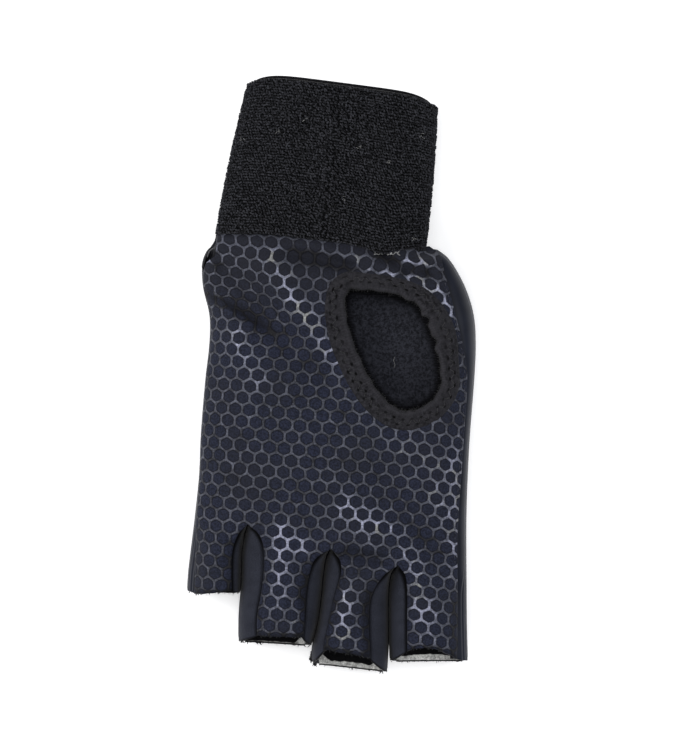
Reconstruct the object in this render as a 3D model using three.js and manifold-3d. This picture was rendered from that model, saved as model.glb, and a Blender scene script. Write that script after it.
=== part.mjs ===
// A left-hand field hockey glove with half fingers, lying on its padded back with the palm up.
// The palm is one printed panel that runs on over the four fingers. Stretch gussets join it to the back
// between the fingers, side panels join it along both outer edges, a bound hole lets the thumb out,
// and a tube of loop-pile elastic closes the wrist. All walls are thin and the glove is hollow.
//
// Millimetres. +X is the thumb side, +Y runs from the fingers to the wrist, +Z is up, out of the palm.
// The origin is the middle of the footprint, on the surface that the glove lies on.

import * as THREE from "three";
import { mergeVertices } from "three/addons/utils/BufferGeometryUtils.js";
import Module from "manifold-3d";

const { lerp, clamp, smoothstep, degToRad } = THREE.MathUtils;

// Cloth and foam thicknesses
const PALM_WALL = 1.5;
const GUSSET_WALL = 1.1;
const SIDE_WALL = 1.0;
const LINING_WALL = 0.9;
const CUFF_WALL = 2.4;
const CUFF_LINING_WALL = 1.0;
const BINDING_WALL = 1.5;
const PAD_THICKNESS = 9;
const SEAM_GAP = 0.35; // the space left between two pieces that are sewn together
const WRIST_GAP = 0.65; // the same between the wrist seam and the cuff
const LINING_GAP = 0.5; // the same under the linings
const GUSSET_CLEARANCE = 0.2; // from the middle of a slit to the cloth on either side of it
const PAD_CLEARANCE = 0.3; // and to the padded back's fingers

// Heights above the surface
const RIM_HEIGHT = 10.5; // top of the padded back along its outer edge
const PAD_EDGE = 2.6; // height of the padded back's upright rim
const FINGER_EDGE = 3.6; // the same on the sides of a finger
const SEAT_DEPTH = 0.7; // how far the padded back is pressed flat where it rests

// Superellipse exponents of the section across the hand: 2 is an ellipse, more is squarer
const PALM_FULLNESS = 2.5;
const PAD_FULLNESS = 3.6;

// The hand seen from above. Each row is a section across it at y: the outermost edge on the little
// finger's side and on the thumb's side, and the palm panel's own edges, which lie inside those.
const OUTLINE = [
  { y: 54.0, left: -42.9, right: 35.8, palmLeft: -41.3, palmRight: 34.8, crown: 20.5 },
  { y: 48.3, left: -43.3, right: 36.4, palmLeft: -41.7, palmRight: 35.4, crown: 21.5 },
  { y: 43.8, left: -47.0, right: 42.8, palmLeft: -44.2, palmRight: 40.2, crown: 22.6 },
  { y: 39.4, left: -48.1, right: 46.0, palmLeft: -46.2, palmRight: 41.2, crown: 23.6 },
  { y: 32.0, left: -47.6, right: 49.8, palmLeft: -45.9, palmRight: 43.1, crown: 25.0 },
  { y: 22.0, left: -45.2, right: 52.8, palmLeft: -43.6, palmRight: 45.6, crown: 26.4 },
  { y: 11.0, left: -45.3, right: 53.5, palmLeft: -43.7, palmRight: 48.3, crown: 27.0 },
  { y: -1.0, left: -46.7, right: 53.0, palmLeft: -45.1, palmRight: 50.0, crown: 27.2 },
  { y: -22.8, left: -48.5, right: 51.3, palmLeft: -46.9, palmRight: 48.8, crown: 27.0 },
  { y: -36.1, left: -49.0, right: 50.6, palmLeft: -47.4, palmRight: 47.9, crown: 26.6 },
  { y: -49.4, left: -50.3, right: 50.1, palmLeft: -48.7, palmRight: 46.9, crown: 26.2 },
  { y: -62.7, left: -51.9, right: 50.0, palmLeft: -49.9, palmRight: 46.3, crown: 26.0 },
  { y: -76.0, left: -53.4, right: 50.1, palmLeft: -50.6, palmRight: 46.5, crown: 25.6 },
  { y: -90.8, left: -53.6, right: 50.2, palmLeft: -50.8, palmRight: 46.6, crown: 25.2 },
  { y: -110, left: -53.6, right: 50.7, palmLeft: -50.8, palmRight: 46.3, crown: 24.8 },
];

// Where the cuff is sewn on, across the wrist
const WRIST_LINE = [
  { x: 40, y: 47.2 },
  { x: 30, y: 45.7 },
  { x: 20, y: 44.8 },
  { x: 13, y: 46.3 },
  { x: 5, y: 48.5 },
  { x: -8, y: 50.3 },
  { x: -22, y: 51.9 },
  { x: -45, y: 52.6 },
];

// The crotches between the fingers, each a leaf seen from above. The palm's edges open out on both
// sides of the slit between the two fingers, and the gusset shows between them.
const GUSSETS = [
  {
    name: "gusset_little_ring",
    sections: [
      { y: -54.9, palmBefore: -30.7, slit: -30.7, palmAfter: -30.7 },
      { y: -58.6, palmBefore: -34.2, slit: -32.0, palmAfter: -26.4 },
      { y: -65.5, palmBefore: -36.4, slit: -33.1, palmAfter: -24.7 },
      { y: -77.9, palmBefore: -36.7, slit: -33.6, palmAfter: -25.4 },
      { y: -89.0, palmBefore: -36.6, slit: -34.5, palmAfter: -27.3 },
      { y: -102, palmBefore: -36.6, slit: -34.6, palmAfter: -27.0 },
    ],
  },
  {
    name: "gusset_ring_middle",
    sections: [
      { y: -63.8, palmBefore: -0.1, slit: -0.1, palmAfter: -0.1 },
      { y: -67.2, palmBefore: -5.6, slit: -1.8, palmAfter: 2.9 },
      { y: -72.7, palmBefore: -7.9, slit: -2.8, palmAfter: 3.5 },
      { y: -80.0, palmBefore: -9.2, slit: -3.5, palmAfter: 1.5 },
      { y: -91.6, palmBefore: -9.9, slit: -5.0, palmAfter: -1.1 },
      { y: -102, palmBefore: -10.5, slit: -7.5, palmAfter: -3.0 },
      { y: -111, palmBefore: -10.8, slit: -6.4, palmAfter: -3.2 },
    ],
  },
  {
    name: "gusset_middle_index",
    sections: [
      { y: -69.9, palmBefore: 24.4, slit: 24.4, palmAfter: 24.4 },
      { y: -73.6, palmBefore: 19.2, slit: 22.2, palmAfter: 27.1 },
      { y: -80.7, palmBefore: 14.9, slit: 21.2, palmAfter: 27.8 },
      { y: -88.0, palmBefore: 13.8, slit: 21.1, palmAfter: 27.8 },
      { y: -111, palmBefore: 14.6, slit: 21.2, palmAfter: 27.8 },
    ],
  },
];

// The fingers from the little finger to the index. Each ends in an open mouth, whose palm side and
// back end at their own y on the finger's two sides. The palm side's end arches back by arch.
const FINGERS = [
  { name: "little", palmTip: [-81.0, -79.6], backTip: [-80.4, -81.0], arch: 0 },
  { name: "ring", palmTip: [-95.8, -96.3], backTip: [-98.9, -100.6], arch: 0 },
  { name: "middle", palmTip: [-100.9, -104.0], backTip: [-107.2, -110.3], arch: 0.3 },
  { name: "index", palmTip: [-101.5, -104.8], backTip: [-106.4, -106.2], arch: 2.5 },
];
const TIP_CLEARANCE = 0.4; // how far a finger's side walls stop short of the back's end
const FINGER_DROP = 2.6; // how far the palm side of a finger falls from its middle to its edges
const KNUCKLE_LEFT_Y = -50.5; // where the knuckle line meets the outer edges
const KNUCKLE_RIGHT_Y = -69.0;
const WRIST_LEFT_X = -42.8; // and where the wrist seam meets them
const WRIST_RIGHT_X = 36.4;

// Folds of the empty palm. Each runs between two points and is a ridge, or a valley if height is
// negative, that dies away over reach to either side and towards its ends.
const FOLDS = [
  { from: [-41, 41], to: [3, -6], reach: 6.0, height: -3.2 },
  { from: [-26, 47], to: [-1, 4], reach: 6.0, height: 1.8 },
  { from: [-40, 26], to: [-24, -10], reach: 6.5, height: 1.3 },
  { from: [-19, 45], to: [9, 39], reach: 3.4, height: -2.0 },
  { from: [15, 43], to: [32, 39], reach: 3.2, height: -1.6 },
  { from: [13, -34], to: [43, -70], reach: 7.5, height: -2.2 },
  { from: [-13, -36], to: [17, -62], reach: 8.0, height: 1.2 },
  { from: [41, -20], to: [43, -62], reach: 5.0, height: 0.9 },
  { from: [3, -66], to: [22, -69], reach: 3.0, height: -1.2 },
];

// The thumb hole: points on its rim, anticlockwise from the wrist's side, with the binding's width
const THUMB_RIM = [
  { x: 12.0, y: 30.9, width: 6.2 },
  { x: 6.2, y: 30.6, width: 6.8 },
  { x: 5.2, y: 24.0, width: 7.6 },
  { x: 7.2, y: 14.5, width: 8.1 },
  { x: 10.8, y: 5.2, width: 8.1 },
  { x: 14.6, y: -2.2, width: 8.0 },
  { x: 19.2, y: -8.4, width: 7.8 },
  { x: 24.6, y: -12.6, width: 7.4 },
  { x: 30.4, y: -12.9, width: 7.0 },
  { x: 36.4, y: -9.8, width: 6.8 },
  { x: 40.0, y: -4.0, width: 6.9 },
  { x: 39.6, y: 4.0, width: 7.2 },
  { x: 37.6, y: 12.5, width: 8.6 },
  { x: 34.8, y: 20.0, width: 8.2 },
  { x: 30.6, y: 26.0, width: 6.8 },
  { x: 22.0, y: 29.7, width: 6.2 },
];
const BINDING_STATIONS = 44;
const BINDING_ROLL = 1.6; // how far the binding turns down into the hole

// The cuff is a flattened tube that leans towards the thumb
const CUFF_LEAN = degToRad(7.4);
const CUFF_TOP = { x: 4.0, y: 102.6, z: 11.4, halfWidth: 35.5, halfHeight: 9.2 };
const CUFF_BASE = { x: -3.9, z: 11.0, halfWidth: 39.0, halfHeight: 9.8 };
const CUFF_FULLNESS = 2.5;
const CUFF_RIM_ARCH = { palm: 2.7, back: 3.6, ends: 0.7 }; // how the top edge rises between its ends
const CUFF_BARREL = 0.6; // how far its sides swell out half way up
const CUFF_LINING_RISE = 1.0;
const CUFF_SIDES = 36;
const CUFF_RINGS = 6;

// Steps of the meshes
const TRACK_CELLS = 5; // across each finger's width
const PALM_ROWS = 20;
const FINGER_ROWS = 7;
const PAD_SHARES = [0, 0.12, 0.35, 0.65, 0.88, 1];
const PAD_ROWS = 12;
const PAD_FINGER_ROWS = 5;

// Flex channels across the padded back, as shares of the way down the hand or the finger
const KNUCKLE_CHANNEL = 0.84;
const FINGER_CHANNEL = 0.5;
const CHANNEL = { depth: 1.6, halfWidth: 0.022, fingerHalfWidth: 0.07 };

const SPAN_LEFT = "left";
const SPAN_RIGHT = "right";

// Tables

// The value of a column at a place in a table, on a smooth curve through its rows. The table is
// sorted by falling values of key.
function along(table, key, column, at) {
  const last = table.length - 1;
  const place = clamp(at, table[last][key], table[0][key]);
  let i = 0;
  while (i < last - 1 && table[i + 1][key] > place) i += 1;
  const slope = (k) => {
    const a = table[Math.max(k - 1, 0)];
    const b = table[Math.min(k + 1, last)];
    return (b[column] - a[column]) / (b[key] - a[key]);
  };
  const [p, q] = [table[i], table[i + 1]];
  const step = q[key] - p[key];
  const t = (place - p[key]) / step;
  const [t2, t3] = [t * t, t * t * t];
  return (
    (2 * t3 - 3 * t2 + 1) * p[column] +
    (t3 - 2 * t2 + t) * step * slope(i) +
    (3 * t2 - 2 * t3) * q[column] +
    (t3 - t2) * step * slope(i + 1)
  );
}

const outline = (column, y) => along(OUTLINE, "y", column, y);
const wristY = (x) => along(WRIST_LINE, "x", "y", x);
const leaf = (gusset, column, y) => along(gusset.sections, "y", column, y);
const apexOf = (gusset) => gusset.sections[0];

// Surfaces

// How far a point lies from the middle of the hand, from 0 to 1 at the outer edge
function outwardness(x, y) {
  const [left, right] = [outline("left", y), outline("right", y)];
  return clamp(Math.abs(2 * x - left - right) / (right - left), 0, 1);
}

function foldHeight(x, y) {
  let sum = 0;
  for (const { from, to, reach, height } of FOLDS) {
    const [dx, dy] = [to[0] - from[0], to[1] - from[1]];
    const length = Math.hypot(dx, dy);
    const share = ((x - from[0]) * dx + (y - from[1]) * dy) / (length * length);
    const across = Math.abs((x - from[0]) * dy - (y - from[1]) * dx) / length;
    const fade = smoothstep(share, -0.1, 0.2) * (1 - smoothstep(share, 0.8, 1.1));
    sum += height * fade * Math.exp(-((across / reach) ** 2));
  }
  return sum;
}

// Top of the palm panel over the hand, and of the envelope that the fingers lie under
function palmHeight(x, y) {
  const u = outwardness(x, y);
  const arch = (1 - u ** PALM_FULLNESS) ** (1 / PALM_FULLNESS);
  const flatness = 1 - smoothstep(u, 0.8, 0.99);
  return RIM_HEIGHT + (outline("crown", y) - RIM_HEIGHT) * arch + foldHeight(x, y) * flatness;
}

// Underside of a padded piece, from its middle to its edge, pressed flat where it rests
function padUnderside(u, edgeHeight) {
  const round = edgeHeight * (1 - (1 - u ** PAD_FULLNESS) ** (1 / PAD_FULLNESS));
  return Math.max(0, round * (1 + SEAT_DEPTH / edgeHeight) - SEAT_DEPTH);
}

function channelDepth(place, centre, halfWidth) {
  return CHANNEL.depth * Math.max(0, 1 - Math.abs(place - centre) / halfWidth);
}

// Sheets

// A sheet of triangles in which points at one place are one vertex. Each point may have a partner
// on the other side of the wall.
class Sheet {
  constructor() {
    this.points = [];
    this.partners = [];
    this.triangles = [];
    this.known = new Map();
  }

  vertex(point, partner) {
    const key = point.map((v) => Math.round(v * 1000)).join(" ");
    if (!this.known.has(key)) {
      this.known.set(key, this.points.length);
      this.points.push(point);
      this.partners.push(partner);
    }
    return this.known.get(key);
  }

  // Adds rows of points, whose outer side is on the left of the way from one row to the next
  add(rows, partnerRows = null) {
    const ids = rows.map((row, r) => row.map((p, c) => this.vertex(p, partnerRows?.[r][c])));
    for (let r = 0; r + 1 < ids.length; r += 1)
      for (let c = 0; c + 1 < ids[r].length; c += 1) {
        const [a, b] = [ids[r][c], ids[r][c + 1]];
        const [d, e] = [ids[r + 1][c], ids[r + 1][c + 1]];
        for (const t of [[a, d, e], [a, e, b]])
          if (new Set(t).size === 3) this.triangles.push(t);
      }
    return this;
  }

  // Makes the partners by going inwards along the normals
  thicken(wall) {
    const sheet = new THREE.BufferGeometry();
    sheet.setAttribute("position", new THREE.Float32BufferAttribute(this.points.flat(), 3));
    sheet.setIndex(this.triangles.flat());
    sheet.computeVertexNormals();
    const normal = sheet.getAttribute("normal");
    this.partners = this.points.map(([x, y, z], i) => [
      x - wall * normal.getX(i),
      y - wall * normal.getY(i),
      z - wall * normal.getZ(i),
    ]);
    return this;
  }

  // The closed solid between the sheet and its partners
  solid() {
    const count = this.points.length;
    const edges = new Set(this.triangles.flatMap(([a, b, c]) => [`${a} ${b}`, `${b} ${c}`, `${c} ${a}`]));
    const faces = [...this.triangles];
    for (const [a, b, c] of this.triangles) faces.push([a + count, c + count, b + count]);
    for (const edge of edges) {
      const [a, b] = edge.split(" ").map(Number);
      if (!edges.has(`${b} ${a}`)) faces.push([b, a, a + count], [b, a + count, b + count]);
    }
    const made = new THREE.BufferGeometry();
    const points = [...this.points, ...this.partners].flat();
    made.setAttribute("position", new THREE.Float32BufferAttribute(points, 3));
    made.setIndex(faces.flat());
    return made;
  }
}

// A closed ring of sections, each a closed loop of points
function ringOfSections(sections) {
  const size = sections[0].length;
  const points = sections.flat(2);
  const faces = [];
  sections.forEach((section, s) => {
    const next = (s + 1) % sections.length;
    section.forEach((_, k) => {
      const after = (k + 1) % size;
      const [a, b] = [s * size + k, s * size + after];
      const [c, d] = [next * size + k, next * size + after];
      faces.push(a, d, b, a, c, d);
    });
  });
  const made = new THREE.BufferGeometry();
  made.setAttribute("position", new THREE.Float32BufferAttribute(points, 3));
  made.setIndex(faces);
  return made;
}

// The plan of the hand and fingers

const apexes = GUSSETS.map(apexOf);
const knuckleLeft = outline("palmLeft", KNUCKLE_LEFT_Y);
const knuckleRight = outline("palmRight", KNUCKLE_RIGHT_Y);
const knuckleShare = (x) => (x - knuckleLeft) / (knuckleRight - knuckleLeft);
const TRACK_EDGES = [0, ...apexes.map(({ slit }) => knuckleShare(slit)), 1];
const KNUCKLE_LINE = [
  { share: 1, y: KNUCKLE_RIGHT_Y },
  { share: TRACK_EDGES[3], y: apexes[2].y },
  { share: TRACK_EDGES[2], y: apexes[1].y },
  { share: TRACK_EDGES[1], y: apexes[0].y },
  { share: 0, y: KNUCKLE_LEFT_Y },
];

// Shares of a track's width at its columns, drawn closer together on the hand's outer edges
function trackShares(track, shares) {
  if (track === 0) return shares.map((t) => t ** 2);
  if (track === FINGERS.length - 1) return shares.map((t) => 1 - (1 - t) ** 1.5);
  return shares;
}

// A point of the hand's plan, share of the way across and down from the wrist to the knuckle line
function handPlan(share, down, leftColumn, rightColumn) {
  const yAt = (part) => {
    const top = wristY(lerp(WRIST_LEFT_X, WRIST_RIGHT_X, part)) - SEAM_GAP;
    return lerp(top, along(KNUCKLE_LINE, "share", "y", part), down);
  };
  return [lerp(outline(leftColumn, yAt(0)), outline(rightColumn, yAt(1)), share), yAt(share)];
}

// The x of a finger's side at y. span says which side, and column which line of the leaf beside it.
function fingerSide(finger, span, y, { before, after, outerLeft, outerRight }) {
  if (span === SPAN_LEFT) return finger === 0 ? outline(outerLeft, y) : leaf(GUSSETS[finger - 1], after, y);
  return finger === FINGERS.length - 1 ? outline(outerRight, y) : leaf(GUSSETS[finger], before, y);
}

const PALM_LINES = { before: "palmBefore", after: "palmAfter", outerLeft: "palmLeft", outerRight: "palmRight" };
const FULL_LINES = { before: "slit", after: "slit", outerLeft: "left", outerRight: "right" };

// A point of a finger's plan, share of the way across it and out from the knuckle line to its tip
function fingerPlan(finger, shareAtRoot, share, out, lines, tips) {
  const start = lerp(TRACK_EDGES[finger], TRACK_EDGES[finger + 1], shareAtRoot);
  const root = handPlan(start, 1, lines.outerLeft, lines.outerRight);
  const rootY = [TRACK_EDGES[finger], TRACK_EDGES[finger + 1]].map((s) => along(KNUCKLE_LINE, "share", "y", s));
  const y = rootY.map((from, side) => lerp(from, tips[side], out));
  const left = fingerSide(finger, SPAN_LEFT, y[0], lines);
  const right = fingerSide(finger, SPAN_RIGHT, y[1], lines);
  const mixed = lerp(shareAtRoot, share, smoothstep(out, 0, 0.6));
  const plain = [lerp(left, right, mixed), lerp(y[0], y[1], mixed)];
  const chordLeft = fingerSide(finger, SPAN_LEFT, rootY[0], lines);
  const chordRight = fingerSide(finger, SPAN_RIGHT, rootY[1], lines);
  const chord = [lerp(chordLeft, chordRight, shareAtRoot), lerp(rootY[0], rootY[1], shareAtRoot)];
  const fade = (1 - out) ** 2;
  return [plain[0] + (root[0] - chord[0]) * fade, plain[1] + (root[1] - chord[1]) * fade];
}

// Top of a finger's palm side, share of the way across it and out to its tip
function fingerHeight(share, out, x, y) {
  const across = Math.abs(2 * share - 1);
  return palmHeight(x, y) - FINGER_DROP * across ** 2.2 * smoothstep(out, 0, 0.35);
}

function steps(count) {
  return Array.from({ length: count + 1 }, (_, i) => i / count);
}

// The palm panel

function palmFinger(finger) {
  const root = trackShares(finger, steps(TRACK_CELLS));
  return steps(FINGER_ROWS).map((out) =>
    root.map((atRoot, i) => {
      const share = i / TRACK_CELLS;
      const [x, y] = fingerPlan(finger, atRoot, share, out, PALM_LINES, FINGERS[finger].palmTip);
      const arched = y + FINGERS[finger].arch * (1 - (2 * share - 1) ** 2) * out ** 4;
      return [x, arched, fingerHeight(lerp(atRoot, share, smoothstep(out, 0, 0.6)), out, x, y)];
    }),
  );
}

function palmSheet() {
  const sheet = new Sheet();
  FINGERS.forEach((_, track) => {
    const shares = trackShares(track, steps(TRACK_CELLS)).map((s) => lerp(TRACK_EDGES[track], TRACK_EDGES[track + 1], s));
    const hand = steps(PALM_ROWS).map((down) =>
      shares.map((share) => {
        const [x, y] = handPlan(share, down, "palmLeft", "palmRight");
        return [x, y, palmHeight(x, y)];
      }),
    );
    const finger = palmFinger(track);
    finger[0] = hand[PALM_ROWS];
    sheet.add(hand).add(finger);
  });
  return sheet.thicken(PALM_WALL);
}

// The thumb hole and its binding

// The rim as a smooth closed curve, and its outward direction and the binding's width along it
function thumbRim(share) {
  const rim = new THREE.CatmullRomCurve3(
    THUMB_RIM.map(({ x, y, width }) => new THREE.Vector3(x, y, width)),
    true,
  );
  const point = rim.getPoint(share);
  const tangent = rim.getTangent(share).setZ(0).normalize();
  return { x: point.x, y: point.y, width: point.z, outX: tangent.y, outY: -tangent.x };
}

function thumbPoint(station, out) {
  const { x, y, width, outX, outY } = thumbRim(station / BINDING_STATIONS);
  return [x + outX * width * out, y + outY * width * out];
}

// A prism through the palm along the line that lies grow beyond the binding's outer edge
function thumbCutter(grow) {
  const shape = new THREE.Shape(
    Array.from({ length: BINDING_STATIONS }, (_, i) => {
      const { width } = thumbRim(i / BINDING_STATIONS);
      return new THREE.Vector2(...thumbPoint(i, 1 + grow / width));
    }),
  );
  return new THREE.ExtrudeGeometry(shape, { depth: 40, bevelEnabled: false, steps: 1 });
}

function bindingRing() {
  const across = [0, 0.35, 0.7, 1];
  const sink = [BINDING_ROLL, 0.3, 0, 0.2];
  const sections = Array.from({ length: BINDING_STATIONS }, (_, i) => {
    const top = across.map((out, k) => {
      const [x, y] = thumbPoint(i, out);
      return [x, y, palmHeight(x, y) + 0.2 - sink[k]];
    });
    const bottom = top.map(([x, y, z]) => [x, y, z - BINDING_WALL]).reverse();
    return [...top, ...bottom].reverse();
  });
  return ringOfSections(sections);
}

// Walls between the palm's edges and the padded back

const WALL_PROFILE = [0, 22, 45, 68, 90].map(degToRad);
const WALL_TUCK = { inward: 1.2, below: 2.1, start: 1.8 };

// A row down a wall: tucked in under the palm's edge, then bulging out over the padded back's edge.
// edge is the palm's edge point, foot the plan point above the back's edge, inward a plan direction.
function wallRow(edge, foot, footHeight, inward, wall) {
  const start = [edge[0], edge[1], edge[2] - WALL_TUCK.start];
  const tucked = [
    edge[0] + inward[0] * WALL_TUCK.inward,
    edge[1] + inward[1] * WALL_TUCK.inward,
    edge[2] - WALL_TUCK.below,
  ];
  const bulge = WALL_PROFILE.map((angle) => [
    lerp(start[0], foot[0], Math.sin(angle)),
    lerp(start[1], foot[1], Math.sin(angle)),
    lerp(footHeight, start[2], Math.cos(angle)),
  ]);
  const inside = (point, angle) => [
    point[0] + inward[0] * wall * Math.sin(angle),
    point[1] + inward[1] * wall * Math.sin(angle),
    point[2] - wall * Math.cos(angle),
  ];
  return {
    outer: [tucked, ...bulge],
    inner: [inside(tucked, 0), ...bulge.map((point, i) => inside(point, WALL_PROFILE[i]))],
  };
}

function wallSheet(rows) {
  return new Sheet().add(rows.map(({ outer }) => outer), rows.map(({ inner }) => inner));
}

function fingerWallRows(finger, span, wall) {
  const palm = palmFinger(finger);
  const side = span === SPAN_LEFT ? 0 : 1;
  const inwardX = side === 0 ? 1 : -1;
  const gusset = GUSSETS[finger - 1 + side];
  const apex = gusset && apexOf(gusset);
  return steps(FINGER_ROWS).map((out, row) => {
    const edge = side === 0 ? palm[row][0] : palm[row][TRACK_CELLS];
    const from = apex ? apex.y : [KNUCKLE_LEFT_Y, KNUCKLE_RIGHT_Y][side];
    const y = lerp(from, FINGERS[finger].backTip[side] + TIP_CLEARANCE, out);
    const slitGap = apex ? GUSSET_CLEARANCE * smoothstep(out, 0, 0.15) : 0;
    const foot = [fingerSide(finger, span, y, FULL_LINES) + inwardX * slitGap, y];
    const turn = apex ? smoothstep(out, 0, 0.3) : 1;
    const inward = [inwardX * turn, 1 - turn];
    const footHeight = (apex ? PAD_THICKNESS : RIM_HEIGHT) + SEAM_GAP;
    return wallRow(edge, foot, footHeight, inward, wall);
  });
}

// A gusset runs up the side of one finger, round the crotch, and down the side of the one before it
function gussetSheet(index) {
  const before = fingerWallRows(index, SPAN_RIGHT, GUSSET_WALL);
  const after = fingerWallRows(index + 1, SPAN_LEFT, GUSSET_WALL).reverse();
  return wallSheet([...after, ...before.slice(1)]);
}

function sidePanelSheet(span) {
  const side = span === SPAN_LEFT ? 0 : 1;
  const columns = side === 0 ? ["palmLeft", "left"] : ["palmRight", "right"];
  const hand = steps(PALM_ROWS).map((down) => {
    const [x, y] = handPlan(side, down, "palmLeft", "palmRight");
    const foot = [outline(columns[1], y), y];
    const inward = [side === 0 ? 1 : -1, 0];
    return wallRow([x, y, palmHeight(x, y)], foot, RIM_HEIGHT + SEAM_GAP, inward, SIDE_WALL);
  });
  const finger = fingerWallRows(side * (FINGERS.length - 1), span, SIDE_WALL);
  const rows = [...hand, ...finger.slice(1)];
  if (side === 0) rows.reverse();
  return wallSheet(rows);
}

// The padded back

function padSheet() {
  const sheet = new Sheet();
  const downs = [...steps(PAD_ROWS), ...[-1, 0, 1].map((k) => KNUCKLE_CHANNEL + k * CHANNEL.halfWidth)].sort(
    (a, b) => a - b,
  );
  const outs = [...steps(PAD_FINGER_ROWS), ...[-1, 1].map((k) => FINGER_CHANNEL + k * CHANNEL.fingerHalfWidth)];
  if (!outs.includes(FINGER_CHANNEL)) outs.push(FINGER_CHANNEL);
  outs.sort((a, b) => a - b);
  FINGERS.forEach(({ backTip }, finger) => {
    const root = trackShares(finger, PAD_SHARES);
    const shares = root.map((s) => lerp(TRACK_EDGES[finger], TRACK_EDGES[finger + 1], s));
    const plan = downs.map((down) => shares.map((share) => handPlan(share, down, "left", "right")));
    const hand = { top: [], bottom: [] };
    plan.forEach((row, r) => {
      hand.top.push(row.map(([x, y]) => [x, y, padTop(x, y)]));
      hand.bottom.push(row.map(([x, y]) => [x, y, handUnderside(x, y, downs[r])]));
    });
    const stall = { top: [], bottom: [] };
    outs.forEach((out) => {
      const row = root.map((atRoot, i) => {
        const share = PAD_SHARES[i];
        const [x, y] = fingerPlan(finger, atRoot, share, out, FULL_LINES, backTip);
        const gap = PAD_CLEARANCE * smoothstep(out, 0, 0.15);
        const inner = (share === 0 && finger > 0) - (share === 1 && finger < FINGERS.length - 1);
        return { x: x + inner * gap, y, across: Math.abs(2 * share - 1) };
      });
      stall.top.push(row.map(({ x, y }) => [x, y, padTop(x, y)]));
      stall.bottom.push(
        row.map(({ x, y, across }) => {
          const own = padUnderside(across, PAD_THICKNESS - FINGER_EDGE);
          const groove = channelDepth(out, FINGER_CHANNEL, CHANNEL.fingerHalfWidth);
          const shared = handUnderside(x, y, 1);
          return [x, y, Math.max(lerp(shared, own, smoothstep(out, 0, 0.3)), shared) + groove];
        }),
      );
    });
    stall.top[0] = hand.top[downs.length - 1];
    stall.bottom[0] = hand.bottom[downs.length - 1];
    sheet.add(hand.top, hand.bottom).add(stall.top, stall.bottom);
  });
  return sheet;
}

function padTop(x, y) {
  return PAD_THICKNESS + (RIM_HEIGHT - PAD_THICKNESS) * smoothstep(outwardness(x, y), 0.88, 1);
}

function handUnderside(x, y, down) {
  const groove = channelDepth(down, KNUCKLE_CHANNEL, CHANNEL.halfWidth);
  return padUnderside(outwardness(x, y), RIM_HEIGHT - PAD_EDGE) + groove;
}

// Linings that show through the thumb hole and in the mouths of the fingers

function liningSheet(rows) {
  const bottom = rows.map((row) => row.map(([x, y]) => [x, y, padTop(x, y) + LINING_GAP]));
  const top = bottom.map((row) => row.map(([x, y, z]) => [x, y, z + LINING_WALL]));
  return new Sheet().add(top, bottom);
}

function handLiningSheet() {
  const rows = steps(8).map((down) =>
    steps(8).map((share) => handPlan(lerp(0.08, 0.92, share), lerp(0.02, 0.96, down), "left", "right")),
  );
  return liningSheet(rows);
}

function fingerLiningSheet(finger) {
  const rows = steps(5).map((out) =>
    steps(3).map((share) =>
      fingerPlan(finger, lerp(0.2, 0.77, share), lerp(0.2, 0.77, share), lerp(0.06, 0.99, out),
        FULL_LINES, FINGERS[finger].backTip),
    ),
  );
  return liningSheet(rows);
}

// The cuff

// A point round the flattened tube, inset from its outer side. share runs from the seam to the rim.
function cuffPoint(angle, share, inset, rise) {
  const c = Math.cos(angle);
  const s = Math.sin(angle);
  const power = 2 / CUFF_FULLNESS;
  const wide = Math.sign(c) * Math.abs(c) ** power;
  const high = Math.sign(s) * Math.abs(s) ** power;
  const halfHeight = lerp(CUFF_BASE.halfHeight, CUFF_TOP.halfHeight, share) - inset;
  const baseX = CUFF_BASE.x + wide * (CUFF_BASE.halfWidth - inset);
  const base = [baseX, wristY(baseX) + WRIST_GAP];
  const arch = s > 0 ? CUFF_RIM_ARCH.palm : CUFF_RIM_ARCH.back;
  const lift = CUFF_RIM_ARCH.ends + arch * (1 - Math.abs(wide) ** 7) + rise;
  const rim = [
    CUFF_TOP.x + wide * (CUFF_TOP.halfWidth - inset) * Math.cos(CUFF_LEAN) + lift * Math.sin(CUFF_LEAN),
    CUFF_TOP.y - wide * (CUFF_TOP.halfWidth - inset) * Math.sin(CUFF_LEAN) + lift * Math.cos(CUFF_LEAN),
  ];
  const z = lerp(CUFF_BASE.z, CUFF_TOP.z, share) + high * halfHeight;
  const barrel = 4 * CUFF_BARREL * share * (1 - share) * wide;
  return [lerp(base[0], rim[0], share) + barrel, lerp(base[1], rim[1], share), z];
}

function cuffTube(inset, wall, rise, rings) {
  const angles = Array.from({ length: CUFF_SIDES }, (_, i) => (-2 * Math.PI * i) / CUFF_SIDES);
  const shares = steps(rings);
  const sections = angles.map((angle) => {
    const outer = shares.map((share) => cuffPoint(angle, share, inset, rise));
    const inner = shares.map((share) => cuffPoint(angle, share, inset + wall, rise));
    return [...outer, ...inner.reverse()];
  });
  return ringOfSections(sections);
}

// Solids by manifold-3d

const wasm = await Module();
wasm.setup();

function toManifold(geometry) {
  const bare = geometry.clone();
  bare.deleteAttribute("normal");
  bare.deleteAttribute("uv");
  const merged = mergeVertices(bare, 1e-4);
  return new wasm.Manifold(
    new wasm.Mesh({
      numProp: 3,
      vertProperties: merged.getAttribute("position").array,
      triVerts: new Uint32Array(merged.index.array),
    }),
  );
}

function toGeometry(manifold) {
  const mesh = manifold.getMesh();
  const made = new THREE.BufferGeometry();
  const points = [];
  for (let i = 0; i < mesh.numVert; i += 1)
    points.push(...mesh.vertProperties.subarray(i * mesh.numProp, i * mesh.numProp + 3));
  made.setAttribute("position", new THREE.Float32BufferAttribute(points, 3));
  made.setIndex([...mesh.triVerts]);
  return made;
}

function cut(geometry, cutter) {
  return toGeometry(toManifold(geometry).subtract(toManifold(cutter)));
}

// Finishes

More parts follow.
